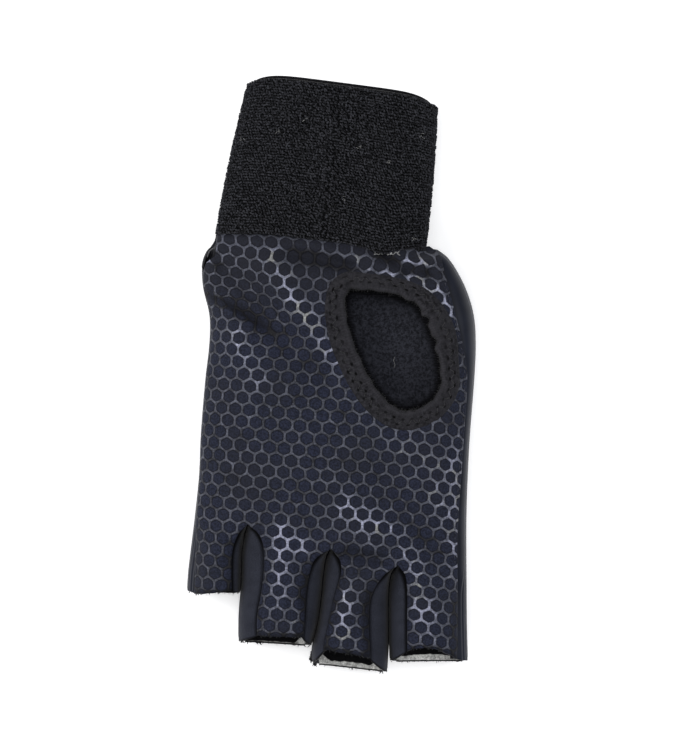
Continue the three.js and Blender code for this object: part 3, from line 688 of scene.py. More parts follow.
class Finish:
    """A procedural material that is put together round one shader."""

    def __init__(self, name, color, roughness, specular=0.2, sheen=0.0):
        self.material = bpy.data.materials.new(name)
        self.material.use_nodes = True
        self.tree = self.material.node_tree
        self.shader = self.tree.nodes["Principled BSDF"]
        self.color = (*color, 1.0)
        for socket, value in {
            "Base Color": self.color,
            "Roughness": roughness,
            "Specular IOR Level": specular,
            "Sheen Weight": sheen,
            "Sheen Roughness": 0.4,
        }.items():
            self.shader.inputs[socket].default_value = value
        self.place = self.node("ShaderNodeTexCoord").outputs["Object"]

    def node(self, kind, *inputs, **settings):
        made = self.tree.nodes.new(kind)
        for name, value in settings.items():
            setattr(made, name, value)
        for socket, value in zip(made.inputs, inputs):
            self.feed(socket, value)
        return made

    def feed(self, socket, value):
        if isinstance(value, bpy.types.NodeSocket):
            self.tree.links.new(value, socket)
        elif value is not None:
            socket.default_value = value

    def cloth(self):
        """The piece's own coordinates along its cloth."""
        return self.node("ShaderNodeUVMap", uv_map="cloth").outputs["UV"]

    # Reads the value at each point, which carries painted light and shade on most cloth pieces
    def wear(self):
        return self.node("ShaderNodeAttribute", attribute_name="wear").outputs["Fac"]

    def parts(self, vector):
        return self.node("ShaderNodeSeparateXYZ", vector).outputs

    def math(self, operation, *inputs):
        return self.node("ShaderNodeMath", *inputs, operation=operation).outputs[0]

    def plus(self, a, b):
        return self.math("ADD", a, b)

    def times(self, a, b):
        return self.math("MULTIPLY", a, b)

    def vector(self, operation, *inputs, output=0):
        return self.node("ShaderNodeVectorMath", *inputs, operation=operation).outputs[output]

    def grain(self, per_mm, detail=2.0, roughness=0.5, place=None):
        made = self.node("ShaderNodeTexNoise")
        self.feed(made.inputs["Vector"], self.place if place is None else place)
        made.inputs["Scale"].default_value = per_mm
        made.inputs["Detail"].default_value = detail
        made.inputs["Roughness"].default_value = roughness
        return made.outputs["Fac"]

    def between(self, value, low, high, to_low=0.0, to_high=1.0):
        made = self.node("ShaderNodeMapRange", value, low, high, to_low, to_high)
        made.interpolation_type = "SMOOTHSTEP"
        return made.outputs["Result"]

    def blend(self, share, a, b, data_type="RGBA", form="Color"):
        made = self.node("ShaderNodeMix", data_type=data_type)
        for name, value in (("Factor_Float", share), (f"A_{form}", a), (f"B_{form}", b)):
            self.feed(next(s for s in made.inputs if s.identifier == name), value)
        return next(s for s in made.outputs if s.identifier == f"Result_{form}")

    def mottled(self, pattern, low, high, color, darkest, lightest):
        """The colour, made from darker to lighter as the pattern goes from low to high."""
        return self.blend(self.between(pattern, low, high), tint(color, darkest), tint(color, lightest))

    def dim(self, color, share):
        grey = self.node("ShaderNodeCombineXYZ", share, share, share).outputs[0]
        return self.vector("MULTIPLY", color, grey)

    def paint(self, color):
        self.feed(self.shader.inputs["Base Color"], color)

    def relief(self, height, depth_mm, under=None):
        made = self.node("ShaderNodeBump")
        made.inputs["Distance"].default_value = depth_mm * MM
        self.feed(made.inputs["Height"], height)
        if under is not None:
            self.feed(made.inputs["Normal"], under)
        self.feed(self.shader.inputs["Normal"], made.outputs["Normal"])
        return made.outputs["Normal"]


def tint(color, factor):
    return tuple(min(1.0, c * factor) for c in color[:3]) + (1.0,)


def honeycomb(f):
    """How far out of its cell's middle a point lies, 0.5 on the straight sides, with rounded corners."""
    lattice = f.cloth()
    half = (0.5, math.sqrt(3) / 2, 1.0)
    lower = tuple(-v for v in half)
    first = f.vector("WRAP", lattice, half, lower)
    second = f.vector("WRAP", f.vector("SUBTRACT", lattice, (half[0], half[1], 0.0)), half, lower)
    nearer = f.math(
        "LESS_THAN",
        f.vector("LENGTH", first, output="Value"),
        f.vector("LENGTH", second, output="Value"),
    )
    inside = f.vector("ABSOLUTE", f.blend(nearer, second, first, "VECTOR", "Vector"))
    flat_side = f.parts(inside)["X"]
    slant = f.vector("DOT_PRODUCT", inside, (0.5, math.sqrt(3) / 2, 0.0), output="Value")
    hexagon = f.math("MAXIMUM", flat_side, slant)
    round_share = f.times(f.vector("LENGTH", inside, output="Value"), 0.36)
    edge = f.math("MULTIPLY_ADD", hexagon, 0.64, round_share)
    wobble = f.math("MULTIPLY_ADD", f.grain(1100, 3.0, 0.7), 0.07, -0.035)
    return f.plus(edge, wobble)


def print_paint(f, settings, shine, gloss_and_light):
    """Grey-lavender print, darkened by painted shade where it is dull, and paled by a painted highlight on a
    ridge.
    """
    specks = f.between(f.grain(1900, 3.0, 0.7), 0.3, 0.7, 0.6, 1.4)
    creamy = f.between(f.grain(95, 2.0), 0.5, 0.62)
    # Pale colours of the print's painted highlights on the ridges, creamy in patches
    ridge_highlight = f.blend(creamy, (*settings.print_highlight_color, 1.0), tint(CREAM_HIGHLIGHT, 1.0))
    # Where the print is dull it is painted dark, as painted shade
    paint = f.blend(gloss_and_light, (0.0165, 0.0165, 0.0185, 1), (*settings.print_color, 1.0))
    return f.dim(f.blend(f.between(shine, 0.5, 1.2), paint, ridge_highlight), specks)


def suede(f, settings, fibres, print_edge_shade):
    """Navy suede, faded in patches and towards the wrist, with painted shade in each cell beside the raised
    print.
    """
    cloth = f.mottled(fibres, 0.38, 0.62, settings.cloth_color, 0.5, 1.55)
    faded = f.times(f.between(f.grain(45, 3.0), 0.42, 0.7), 0.45)
    upper = f.between(f.parts(f.place)["Y"], 0.012, 0.04, 0.0, 0.62)
    cloth = f.blend(f.math("MAXIMUM", faded, upper), cloth, (0.0135, 0.0137, 0.0165, 1))
    # Painted shade along the inside of each cell's rim, stronger in patches
    edge_shade_strength = f.between(f.grain(420, 2.0), 0.3, 0.65, 0.45, 0.95)
    return f.blend(f.times(print_edge_shade, edge_shade_strength), cloth, (0.003, 0.003, 0.0055, 1))


def printed_cloth(settings):
    """Suede under a raised honeycomb of shiny print, with painted highlights on the ridges and painted shade
    in the folds.
    """
    f = Finish("printed_palm", settings.cloth_color, 0.72, specular=0.13, sheen=0.03)
    wear = f.wear()
    patchy = f.math("MULTIPLY_ADD", f.grain(170, 2.0, 0.6), 0.9, -0.45)
    broken = f.math("MULTIPLY_ADD", f.grain(560, 3.0, 0.65), 1.1, -0.55)
    # The print's painted light at each point, broken up at random
    shine = f.plus(f.plus(wear, patchy), broken)
    # Sets the print's gloss, and with it how bright the print is painted
    gloss_and_light = f.between(shine, -0.15, 0.62)
    line = 0.5 - settings.line_width / settings.cell_pitch / 2
    wider = f.times(f.math("MINIMUM", shine, 0.9), 0.02)
    edge = f.plus(honeycomb(f), f.math("SUBTRACT", wider, 0.008))
    mask = f.between(edge, line - 0.042, line + 0.03)
    fibres = f.grain(1500, 4.0, 0.75)
    # The band just inside the print lines gets the cells' painted shade
    cloth = suede(f, settings, fibres, f.between(edge, line - 0.105, line - 0.035))
    surface = f.blend(mask, cloth, print_paint(f, settings, shine, gloss_and_light))
    # Painted shade that darkens the cloth at the bottoms of folds
    hollow = f.between(wear, -1.1, 0.05, 0.72, 0.0)
    f.paint(f.blend(hollow, surface, (0.0035, 0.0035, 0.0045, 1)))
    f.feed(f.shader.inputs["Roughness"], f.between(f.times(mask, gloss_and_light), 0, 1, 0.78, 0.42))
    f.feed(f.shader.inputs["Metallic"], f.times(mask, f.times(gloss_and_light, 0.35)))
    weave = f.relief(fibres, 0.06)
    f.relief(mask, 0.16, under=weave)
    return f.material


def stretch_knit(settings):
    """Fine knit, with painted shade where the value at each point says that it is deep in a slit or under
    the palm's edge.
    """
    f = Finish("stretch_knit", settings.gusset_color, 0.9, specular=0.07, sheen=0.08)
    cloth = f.cloth()
    rows = f.grain(1.0, 4.0, 0.8, place=f.vector("MULTIPLY", cloth, (1.9, 2.9, 1.0)))
    patches = f.grain(1.0, 2.0, 0.5, place=f.vector("MULTIPLY", cloth, (0.22, 0.12, 1.0)))
    height = f.plus(rows, f.times(patches, 0.2))
    knit = f.mottled(height, 0.42, 0.78, settings.gusset_color, 0.6, 1.45)
    painted_lit_share = f.wear()
    # Painted shade: near black where the knit is not lit
    f.paint(f.blend(painted_lit_share, (0.0015, 0.0015, 0.002, 1), knit))
    f.relief(rows, 0.12)
    return f.material


def coated_side(settings):
    """Smooth satin cloth with two fine pressed lines along its lower edge, and painted shade where it is not
    lit.
    """
    f = Finish("coated_side", settings.side_color, 0.42, specular=0.14)
    depth = f.parts(f.cloth())["Y"]
    lines = None
    for centre in (1.7, 2.9, 4.3):
        away = f.math("ABSOLUTE", f.math("SUBTRACT", depth, centre))
        line = f.between(away, 0.14, 0.4, 1.0, 0.0)
        lines = line if lines is None else f.math("MAXIMUM", lines, line)
    grain = f.grain(700, 3.0, 0.6)
    base = f.mottled(f.grain(60, 3.0), 0.35, 0.7, settings.side_color, 0.75, 1.25)
    base = f.blend(f.times(lines, 0.8), base, (0.05, 0.053, 0.066, 1))
    painted_lit_share = f.wear()
    # Painted shade under the palm's edge and in the pucker
    f.paint(f.blend(painted_lit_share, (0.002, 0.002, 0.003, 1), base))
    under = f.relief(grain, 0.02)
    f.relief(lines, 0.18, under=under)
    return f.material


def binding_knit(settings):
    """A ribbed knit band, pricked by two rows of stitch holes, with painted shade in the holes and along the
    edge where it rolls into the hole.
    """
    f = Finish("binding_knit", settings.binding_color, 0.95, specular=0.04, sheen=0.06)
    place = f.parts(f.cloth())
    along, out = place["X"], place["Y"]
    holes = None
    for row, offset in ((0.46, 0.0), (0.74, 0.5)):
        step = f.math("FRACT", f.plus(along, offset))
        away_along = f.times(f.math("SUBTRACT", step, 0.5), 2.4)
        away_out = f.times(f.math("SUBTRACT", out, row), 8.0)
        squares = f.plus(f.math("POWER", away_along, 2.0), f.math("POWER", away_out, 2.0))
        away = f.math("SQRT", squares)
        hole = f.between(away, 0.2, 0.6, 1.0, 0.0)
        holes = hole if holes is None else f.math("MAXIMUM", holes, hole)
    ribs = f.math("SINE", f.times(along, 4 * 2 * math.pi))
    ribs = f.times(ribs, f.between(out, 0.05, 0.4, 0.55, 0.05))
    lumps = f.grain(820, 4.0, 0.8)
    height = f.plus(f.times(ribs, 0.16), lumps)
    color = f.mottled(height, 0.36, 0.66, settings.binding_color, 0.5, 1.6)
    patches = f.between(f.grain(130, 3.0), 0.35, 0.65, 0.0, 0.5)
    color = f.blend(patches, color, tint(settings.binding_color, 1.25))
    color = f.blend(f.between(out, 0.06, 0.34, 0.55, 0.0), color, tint(settings.binding_color, 2.0))
    # Painted shade, near black, along the edge where the band rolls into the hole
    color = f.blend(f.between(out, -0.02, 0.05, 0.9, 0.0), color, (0.003, 0.003, 0.003, 1))
    # Painted shade in the stitch holes, deeper in some than in others
    hole_shade = f.between(f.grain(75, 2.0), 0.4, 0.6, 0.45, 0.95)
    f.paint(f.blend(f.times(holes, hole_shade), color, (0.002, 0.002, 0.002, 1)))
    knit = f.relief(height, 0.22)
    f.relief(f.math("SUBTRACT", 1.0, holes), 0.4, under=knit)
    return f.material


def brushed_fleece(name, color, per_mm=1100, depth=0.2, shaded=False):
    """Napped black cloth. Where shaded is set, the value at each point tells how far it is from the thumb
    hole's rim, and painted shade darkens it near the rim.
    """
    f = Finish(name, color, 1.0, specular=0.05, sheen=0.2)
    fuzz = f.grain(per_mm, 4.0, 0.8)
    nap = f.mottled(fuzz, 0.36, 0.64, color, 0.4, 1.75)
    height = fuzz
    if shaded:
        painted_lit_share = f.wear()
        across = f.parts(f.place)["Y"]
        ribs = f.math("SINE", f.plus(f.times(across, 6600), f.times(fuzz, 3.0)))
        near_rim = f.times(ribs, f.between(painted_lit_share, 0.15, 0.75, 0.45, 0.0))
        height = f.plus(fuzz, near_rim)
        # Painted shade towards the hole's rim, broken by the ribs
        shadow = f.plus(f.between(painted_lit_share, 0.05, 0.85), f.times(near_rim, 0.35))
        nap = f.blend(shadow, (0.0048, 0.0048, 0.0058, 1), nap)
    f.paint(nap)
    f.relief(height, depth)
    return f.material


def raw_foam(settings):
    """Black fleece whose light grey foam shows along the cut end, as far as the value at each point says;
    the foam is dimmed by painted shade where little of it shows, and the black further in is also painted
    shade deep in the finger.
    """
    f = Finish("grey_foam", settings.foam_color, 0.95, specular=0.05, sheen=0.1)
    from_end = f.parts(f.cloth())["Y"]
    reach = f.wear()
    ragged_reach = f.plus(reach, f.math("MULTIPLY_ADD", f.grain(500, 3.0), 1.0, -0.5))
    beyond = f.math("SUBTRACT", from_end, ragged_reach)
    black_edge = f.between(from_end, 0.4, 0.68, 1.0, 0.0)
    black_and_shaded = f.math("MAXIMUM", f.between(beyond, -0.15, 0.15), black_edge)
    cells = f.grain(2400, 3.0, 0.7)
    # Painted shade: the foam is darker where only a narrow strip of it shows, and patchy
    lit = f.between(reach, 0.6, 2.7, 0.42, 1.15)
    foam = f.mottled(cells, 0.3, 0.7, settings.foam_color, 0.6, 1.25)
    lit = f.times(lit, f.between(f.grain(620, 3.0, 0.7), 0.32, 0.62, 0.5, 1.25))
    foam = f.dim(foam, lit)
    # Black beyond the foam: the fleece's own colour, and painted shade deep in the finger
    fleece = f.blend(f.between(cells, 0.3, 0.7), (0.002, 0.002, 0.0025, 1), (0.008, 0.008, 0.009, 1))
    f.paint(f.blend(black_and_shaded, foam, fleece))
    f.relief(cells, 0.08)
    return f.material


def padded_cloth(settings):
    """Satin cloth in a plain weave, with soft creases."""
    f = Finish("padded_back", settings.back_color, 0.6, specular=0.25, sheen=0.15)
    waves = [f.math("SINE", f.times(f.parts(f.place)[axis], 7200)) for axis in "XYZ"]
    weave = f.plus(f.times(waves[0], waves[1]), f.times(waves[2], waves[1]))
    creases = f.grain(140, 3.0, 0.6)
    height = f.plus(f.times(weave, 0.3), f.times(creases, 0.7))
    cloth = f.mottled(f.grain(90, 3.0), 0.35, 0.7, settings.back_color, 0.8, 1.2)
    f.paint(f.blend(f.between(weave, -1.2, 0.4, 0.6, 0.0), cloth, tint(settings.back_color, 0.35)))
    f.relief(height, 0.14)
    return f.material


def loop_yarn(settings):
    """Black yarn that differs in tone from loop to loop."""
    f = Finish("loop_pile", settings.pile_color, 0.95, specular=0.05, sheen=0.05)
    fibre = f.grain(1.0, 2.0, 0.7, place=f.vector("MULTIPLY", f.place, (4200, 2600, 4200)))
    patch = f.grain(1000, 2.0, 0.6)
    f.paint(f.mottled(patch, 0.35, 0.65, settings.pile_color, 0.4, 2.6))
    f.relief(fibre, 0.06)
    return f.material


def thread_yarn(name, color, roughness=0.7):
    f = Finish(name, color, roughness, specular=0.3, sheen=0.1)
    f.paint(f.mottled(f.grain(2200, 2.0), 0.3, 0.7, color, 0.6, 1.4))
    f.relief(f.grain(5200, 2.0), 0.03)
    return f.material


def plain_floor():
    f = Finish("floor", (0.93, 0.93, 0.93), 0.9, specular=0.0)
    f.shader.inputs["Emission Color"].default_value = (1, 1, 1, 1)
    f.shader.inputs["Emission Strength"].default_value = FLOOR_GLOW
    patches = f.between(f.grain(3, 2.0), 0.3, 0.7)
    f.paint(f.blend(patches, (0.925, 0.925, 0.925, 1), (0.935, 0.935, 0.935, 1)))
    return f.material


# Settings


class GloveSettings(bpy.types.PropertyGroup):
    """Sizes and colours of the glove that a user would change."""

    cell_pitch: bpy.props.FloatProperty(
        name="Honeycomb Pitch",
        description="Distance between printed cells, in millimetres",
        default=5.21,
        min=2,
    )
    line_width: bpy.props.FloatProperty(
        name="Print Width",
        description="Width of the printed lines, in millimetres",
        default=0.7,
        min=0.1,
    )
    cloth_color: bpy.props.FloatVectorProperty(
        name="Palm Cloth",
        description="Colour of the palm's suede",
        default=(0.0128, 0.0152, 0.0285),
        subtype="COLOR",
    )
    print_color: bpy.props.FloatVectorProperty(
        name="Print",
        description="Colour of the printed lines",
        default=(0.082, 0.087, 0.112),
        subtype="COLOR",
    )
    # The colour of the print's painted highlights on the ridges
    print_highlight_color: bpy.props.FloatVectorProperty(
        name="Painted Print Highlight",
        description="Colour of the print on the ridges",
        default=(0.29, 0.3, 0.39),
        subtype="COLOR",
    )
    gusset_color: bpy.props.FloatVectorProperty(
        name="Gussets",
        description="Colour of the stretch knit",
        default=(0.0245, 0.0265, 0.0365),
        subtype="COLOR",
    )
    side_color: bpy.props.FloatVectorProperty(
        name="Side Panels",
        description="Colour of the coated sides",
        default=(0.0098, 0.0118, 0.0205),
        subtype="COLOR",
    )
    binding_color: bpy.props.FloatVectorProperty(
        name="Binding",
        description="Colour of the thumb binding",
        default=(0.021, 0.0205, 0.0235),
        subtype="COLOR",
    )
    back_color: bpy.props.FloatVectorProperty(
        name="Padded Back",
        description="Colour of the back's cloth",
        default=(0.015, 0.0165, 0.024),
        subtype="COLOR",
    )
    fleece_color: bpy.props.FloatVectorProperty(
        name="Fleece",
        description="Colour of the inner lining",
        default=(0.0225, 0.0235, 0.03),
        subtype="COLOR",
    )
    foam_color: bpy.props.FloatVectorProperty(
        name="Finger Lining",
        description="Colour of the finger linings",
        default=(0.52, 0.52, 0.5),
        subtype="COLOR",
    )
    pile_color: bpy.props.FloatVectorProperty(
        name="Loop Pile",
        description="Colour of the cuff's loops",
        default=(0.0168, 0.0172, 0.02),
        subtype="COLOR",
    )
    loop_spacing: bpy.props.FloatProperty(
        name="Loop Spacing",
        description="Distance between the cuff's loops, in millimetres",
        default=1.06,
        min=0.6,
    )
    loop_height: bpy.props.FloatProperty(
        name="Loop Height",
        description="How far a loop stands up, in millimetres",
        default=0.9,
        min=0.1,
    )
    pad_pressure: bpy.props.FloatProperty(
        name="Foam Pressure",
        description="How hard the foam swells under its cloth",
        default=3.0,
        min=0,
    )


def settings_of(context):
    return context.scene.hockey_glove


# Pieces


def palm_painted_light(x, y):
    """How bright the print is painted: painted highlights on the ridges, and below 0 painted shade that
    sinks into a fold.
    """
    total = PLAIN_PRINT_LIGHT
    for start, end, reach, strength in PRINT_LIGHT:
        total = total + strength * stroke(x, y, start, end, reach)
    return np.clip(total, -1.2, 1.4)


def gathered(x, y):
    """Cloth taken up by the puckers at the wrist, on the little finger's side."""
    above = y - (26.0 - 0.6 * (x + 40.0))
    taken = (1 - np.clip(above / 24.0, 0, 1)) * smoothstep(above, -0.8, 0.8)
    return -GATHERED * taken * smoothstep(x, -14.0, -36.0)


def lattice_of(across, y, settings):
    """The cloth's own coordinates in cells, stretched across the hand and falling towards the thumb."""
    u, v = across - PRINT_CENTRE[0], y - PRINT_CENTRE[1] + gathered(across, y)
    v = v + 0.0012 * np.clip(across - 10, 0, None) ** 2 - 1.3 * smoothstep(y, 34, 48)
    wide, high = settings.cell_pitch * PRINT_STRETCH, settings.cell_pitch / PRINT_STRETCH
    row_turn, column_turn = math.radians(4.5), math.radians(2.5)
    return stack(
        (u * math.cos(column_turn) - v * math.sin(column_turn)) / wide,
        (u * math.sin(row_turn) + v * math.cos(row_turn)) / high,
    )


def arc_across(x, z, column, start):
    """Distance along the cloth from one column, where it is start."""
    steps = np.hypot(np.diff(x, axis=1), np.diff(z, axis=1))
    run = np.concatenate([np.zeros((len(x), 1)), np.cumsum(steps, axis=1)], axis=1)
    return run - run[:, column : column + 1] + start


def inside_thumb_hole(x, y, grow):
    """Whether points lie inside the curve that is grow of the binding's width outside the rim."""
    edge = thumb_ring(160, np.array([grow]))[:, 0]
    result = np.zeros(x.shape, bool)
    for (ax, ay), (bx, by) in zip(edge, np.roll(edge, -1, axis=0)):
        crosses = (ay > y) != (by > y)
        result ^= crosses & (x < (bx - ax) * (y - ay) / (by - ay + 1e-12) + ax)
    return result


def ragged(x, seed):
    """The uneven line of a cut cloth edge."""
    points = stack(x, 0 * x)
    return RAGGED_DEPTH * (mottle(points, 1.3, seed) + 0.6 * mottle(points, 5.0, seed + 7))


def palm_finger(finger, cells, rows, folds=FOLDS, cut=0.0):
    """Points of one finger's palm side, row by row from the knuckles to the tip."""
    even = np.linspace(0, 1, cells + 1)[None]
    root = track_shares(finger, even)
    out = np.linspace(0, 1, rows + 1)[:, None]
    x, y = finger_plan(finger, root, even, out, PALM_LINES, TIPS[finger]["palm_tip"])
    y = y + TIPS[finger]["arch"] * (1 - (2 * even - 1) ** 2) * out**4
    share = lerp(root, even, smoothstep(out, 0, 0.6))
    z = finger_height(share, out, x, y, folds)
    return stack(x, y + cut * out**8 * ragged(x, finger), z)


def dull_edges(finger, x, y):
    """How much the print fades along a finger's sides and at its cut end, partly an unprinted margin and
    partly painted shade.
    """
    low, high = TIPS[finger]["dull_sides"]
    away_low, away_high = x - x[:, :1], x[:, -1:] - x
    sides = low * smoothstep(away_low, 3.4, 0.6) + high * smoothstep(away_high, 3.9, 1.0)
    out = np.linspace(0, 1, len(x))[:, None]
    return sides * smoothstep(out, 0.05, 0.4) + 0.9 * smoothstep(y - y[-1:], 1.7, 0.5)


def wrist_roll(x, y, z):
    """How far the palm rolls down into the wrist seam. At the thumb's side it reaches the padded back."""
    above_seam = y - WRIST_LINE.at("y", x)
    at_corner = smoothstep(x, 28.5, 35) * smoothstep(above_seam, -5.0, 0.9)
    corner = at_corner * np.maximum(z - RIM_HEIGHT - 1.5, 0)
    return np.maximum(2.0 * smoothstep(above_seam, -2.6, 0.9), corner)


def sew_palm(settings):
    """One panel for the palm and the four fingers, with a hole under the thumb binding."""
    folds = FOLDS + CREASES
    work = Patchwork()
    columns = [
        lerp(TRACK_EDGES[t], TRACK_EDGES[t + 1], track_shares(t, np.linspace(0, 1, PALM_CELLS + 1)))
        for t in range(4)
    ]
    shares = np.concatenate([columns[0], *(c[1:] for c in columns[1:])])[None]
    down = np.linspace(0, 1, PALM_ROWS + 1)[:, None]
    x, y = hand_plan(shares, down, "palm_left", "palm_right", gap=-0.9)
    z = palm_height(x, y, folds)
    z += 0.22 * mottle(stack(x, y), 11.0, 3.0) * (1 - smoothstep(outwardness(x, y), 0.9, 1))
    z -= wrist_roll(x, y, z)
    middle = 2 * PALM_CELLS
    across = arc_across(x, z, middle, x[:, middle : middle + 1])
    centre_x, centre_y = (0.25 * (g[1:, 1:] + g[:-1, 1:] + g[1:, :-1] + g[:-1, :-1]) for g in (x, y))
    keep = ~inside_thumb_hole(centre_x, centre_y, 0.45)
    hand = stack(x, y, z)
    work.add(hand, lattice_of(across, y, settings), palm_painted_light(x, y), keep)
    for finger in range(4):
        points = palm_finger(finger, PALM_CELLS, FINGER_ROWS, folds=folds, cut=1.0)
        first = finger * PALM_CELLS
        points[0] = hand[-1, first : first + PALM_CELLS + 1]
        fx, fy, fz = points[..., 0], points[..., 1], points[..., 2]
        mid = PALM_CELLS // 2
        start = fx[:, mid : mid + 1] + across[-1, first + mid] - x[-1, first + mid]
        # The print's painted light, less along the finger's faded and shaded edges
        wear = palm_painted_light(fx, fy) - dull_edges(finger, fx, fy)
        work.add(points, lattice_of(arc_across(fx, fz, mid, start), fy, settings), wear)
    palm = put(work.mesh("palm"), printed_cloth(settings), ["palm_panel"])
    add_wall(palm, PALM_CLOTH)
    declare_sheet(palm)


def thumb_ring(stations, out):
    """Plan points round the thumb hole, at shares of the binding's width outside the rim."""
    rim = np.array(THUMB_RIM)
    count = len(rim)
    place = np.arange(stations) / stations * count
    i = np.floor(place).astype(int)
    t = (place - i)[:, None]
    a, b, c, d = (rim[(i + k) % count] for k in (-1, 0, 1, 2))
    point = 0.5 * (2 * b + (c - a) * t + (2 * a - 5 * b + 4 * c - d) * t**2 + (3 * b - a - 3 * c + d) * t**3)
    slope = 0.5 * ((c - a) + 2 * (2 * a - 5 * b + 4 * c - d) * t + 3 * (3 * b - a - 3 * c + d) * t**2)
    slope = slope[:, :2] / np.linalg.norm(slope[:, :2], axis=1, keepdims=True)
    outward = np.stack([slope[:, 1], -slope[:, 0]], axis=-1)
    return point[:, None, :2] + outward[:, None] * (point[:, 2:] * out[None])[..., None]


def binding_top(stations, out):
    """Points on the binding's upper face: crowned, rippled, and rolled down into the hole."""
    plan = thumb_ring(stations, out)
    phase = np.arange(stations)[:, None] / stations * 2 * math.pi
    slack = 0.35 + 1.0 * np.exp(-(((phase - 5.0) / 0.6) ** 2))
    ripple = slack * (np.sin(phase * 17) + 0.6 * np.sin(phase * 29 + 1)) * (1 - out) ** 1.5
    inward = (plan - thumb_ring(stations, out + 0.05)) / 0.35
    plan = plan + inward * 0.45 * ripple[..., None]
    crown = 0.55 * np.sin(np.pi * np.clip(out, 0, 1)) ** 0.7
    roll = 1.4 * (1 - np.clip(out / 0.16, 0, 1)) ** 2
    z = palm_height(plan[..., 0], plan[..., 1]) + 0.45 + crown - roll
    z += 0.35 * ripple - 0.35 * smoothstep(out, 0.85, 1) + 0.3 * mottle(plan, 2.6, 5.0)
    for x, y, reach, height in BINDING_DENTS:
        z += height * np.exp(-((plan[..., 0] - x) ** 2 + (plan[..., 1] - y) ** 2) / reach**2)
    return np.concatenate([plan, z[..., None]], axis=-1)


def sew_thumb_binding(settings):
    """The knitted band round the thumb hole."""
    stations = 304
    out = np.linspace(0, 1, 15)
    top = binding_top(stations, out)
    bottom = top - [0, 0, BINDING_CLOTH]
    bottom[:, 0] += [0, 0, 0.45]
    sections = np.concatenate([top, bottom[:, ::-1]], axis=1)
    along = np.arange(stations)[:, None] / stations * BINDING_STITCHES
    mesh = make_mesh(
        "thumb_binding_band",
        sections.reshape(-1, 3),
        closed_ring(sections).tolist(),
        stack(along, np.concatenate([out, out[::-1]])).reshape(-1, 2),
        wrap=BINDING_STITCHES,
    )
    band = put(mesh, binding_knit(settings), ["thumb_binding"])
    face_outwards(band)
    declare_sheet(band)
    stitch_binding()
    fuzz_thumb_hole()


def stitch_binding():
    """A zigzag of stitches between two rows of holes round the binding."""
    fine = 8
    ring = binding_top(BINDING_STITCHES * fine, np.array([0.46, 0.76]))
    inner = ring[fine // 2 :: fine, 0]
    outer = ring[::fine, 1]
    after = np.roll(outer, -1, axis=0)
    legs = np.concatenate([np.stack([outer, inner], axis=1), np.stack([inner, after], axis=1)])
    steps = np.linspace(0.06, 0.94, 5)[None, :, None]
    paths = lerp(legs[:, :1], legs[:, 1:], steps)
    paths[..., 2] += np.array([-0.3, 0.1, 0.16, 0.1, -0.3])
    thread = thread_yarn("binding_thread", (0.021, 0.021, 0.023))
    lay_threads("binding_stitches", paths, 0.15, thread, sides=5)


def fuzz_thumb_hole():
    """Short fibres that stand into the hole from the binding's rim."""
    rng = np.random.default_rng(11)
    count = 640
    lip = binding_top(count, np.array([0.0, 0.12]))
    inward = lip[:, 0] - lip[:, 1]
    inward /= np.linalg.norm(inward[:, :2], axis=1, keepdims=True) + 1e-9
    start = lip[:, 1] + rng.normal(0, 0.12, (count, 3))
    length = rng.uniform(0.5, 1.5, (count, 1))
    droop = rng.uniform(0.1, 0.8, (count, 1)) * np.array([[0, 0, -1]])
    curl = rng.normal(0, 0.28, (count, 3))
    steps = np.linspace(0, 1, 4)[None, :, None]
    paths = start[:, None] + inward[:, None] * length[:, None] * steps + (droop + curl)[:, None] * steps**2
    fibre = thread_yarn("fuzz_fibre", (0.012, 0.012, 0.013), 0.95)
    lay_threads("thumb_hole_fuzz", paths, 0.055, fibre, sides=3)


def wall_rows(edge, beside, foot, foot_height, fullness, droop):
    """A wall of cloth that comes from under the palm's edge and bulges down to the padded back.

    edge and beside are points on the palm, on its edge and a little further in.
    """
    inward = (beside - edge) / np.linalg.norm(beside - edge, axis=1, keepdims=True)
    level = np.linalg.norm(inward[:, :2], axis=1, keepdims=True)
    under = np.concatenate([inward[:, :2] / level * inward[:, 2:], -level], axis=1)
    tucked = edge + under * UNDER_PALM + inward * 1.6
    top = edge + under * (UNDER_PALM + droop)
    side = np.sin(WALL_ANGLES) ** (2 / fullness)
    height = np.cos(WALL_ANGLES) ** (2 / fullness)
    rows = stack(
        top[:, :1] + (foot[:, :1] - top[:, :1]) * side,
        top[:, 1:2] + (foot[:, 1:2] - top[:, 1:2]) * side,
        foot_height + (top[:, 2:] - foot_height) * height,
    )
    return np.concatenate([tucked[:, None], rows], axis=1)


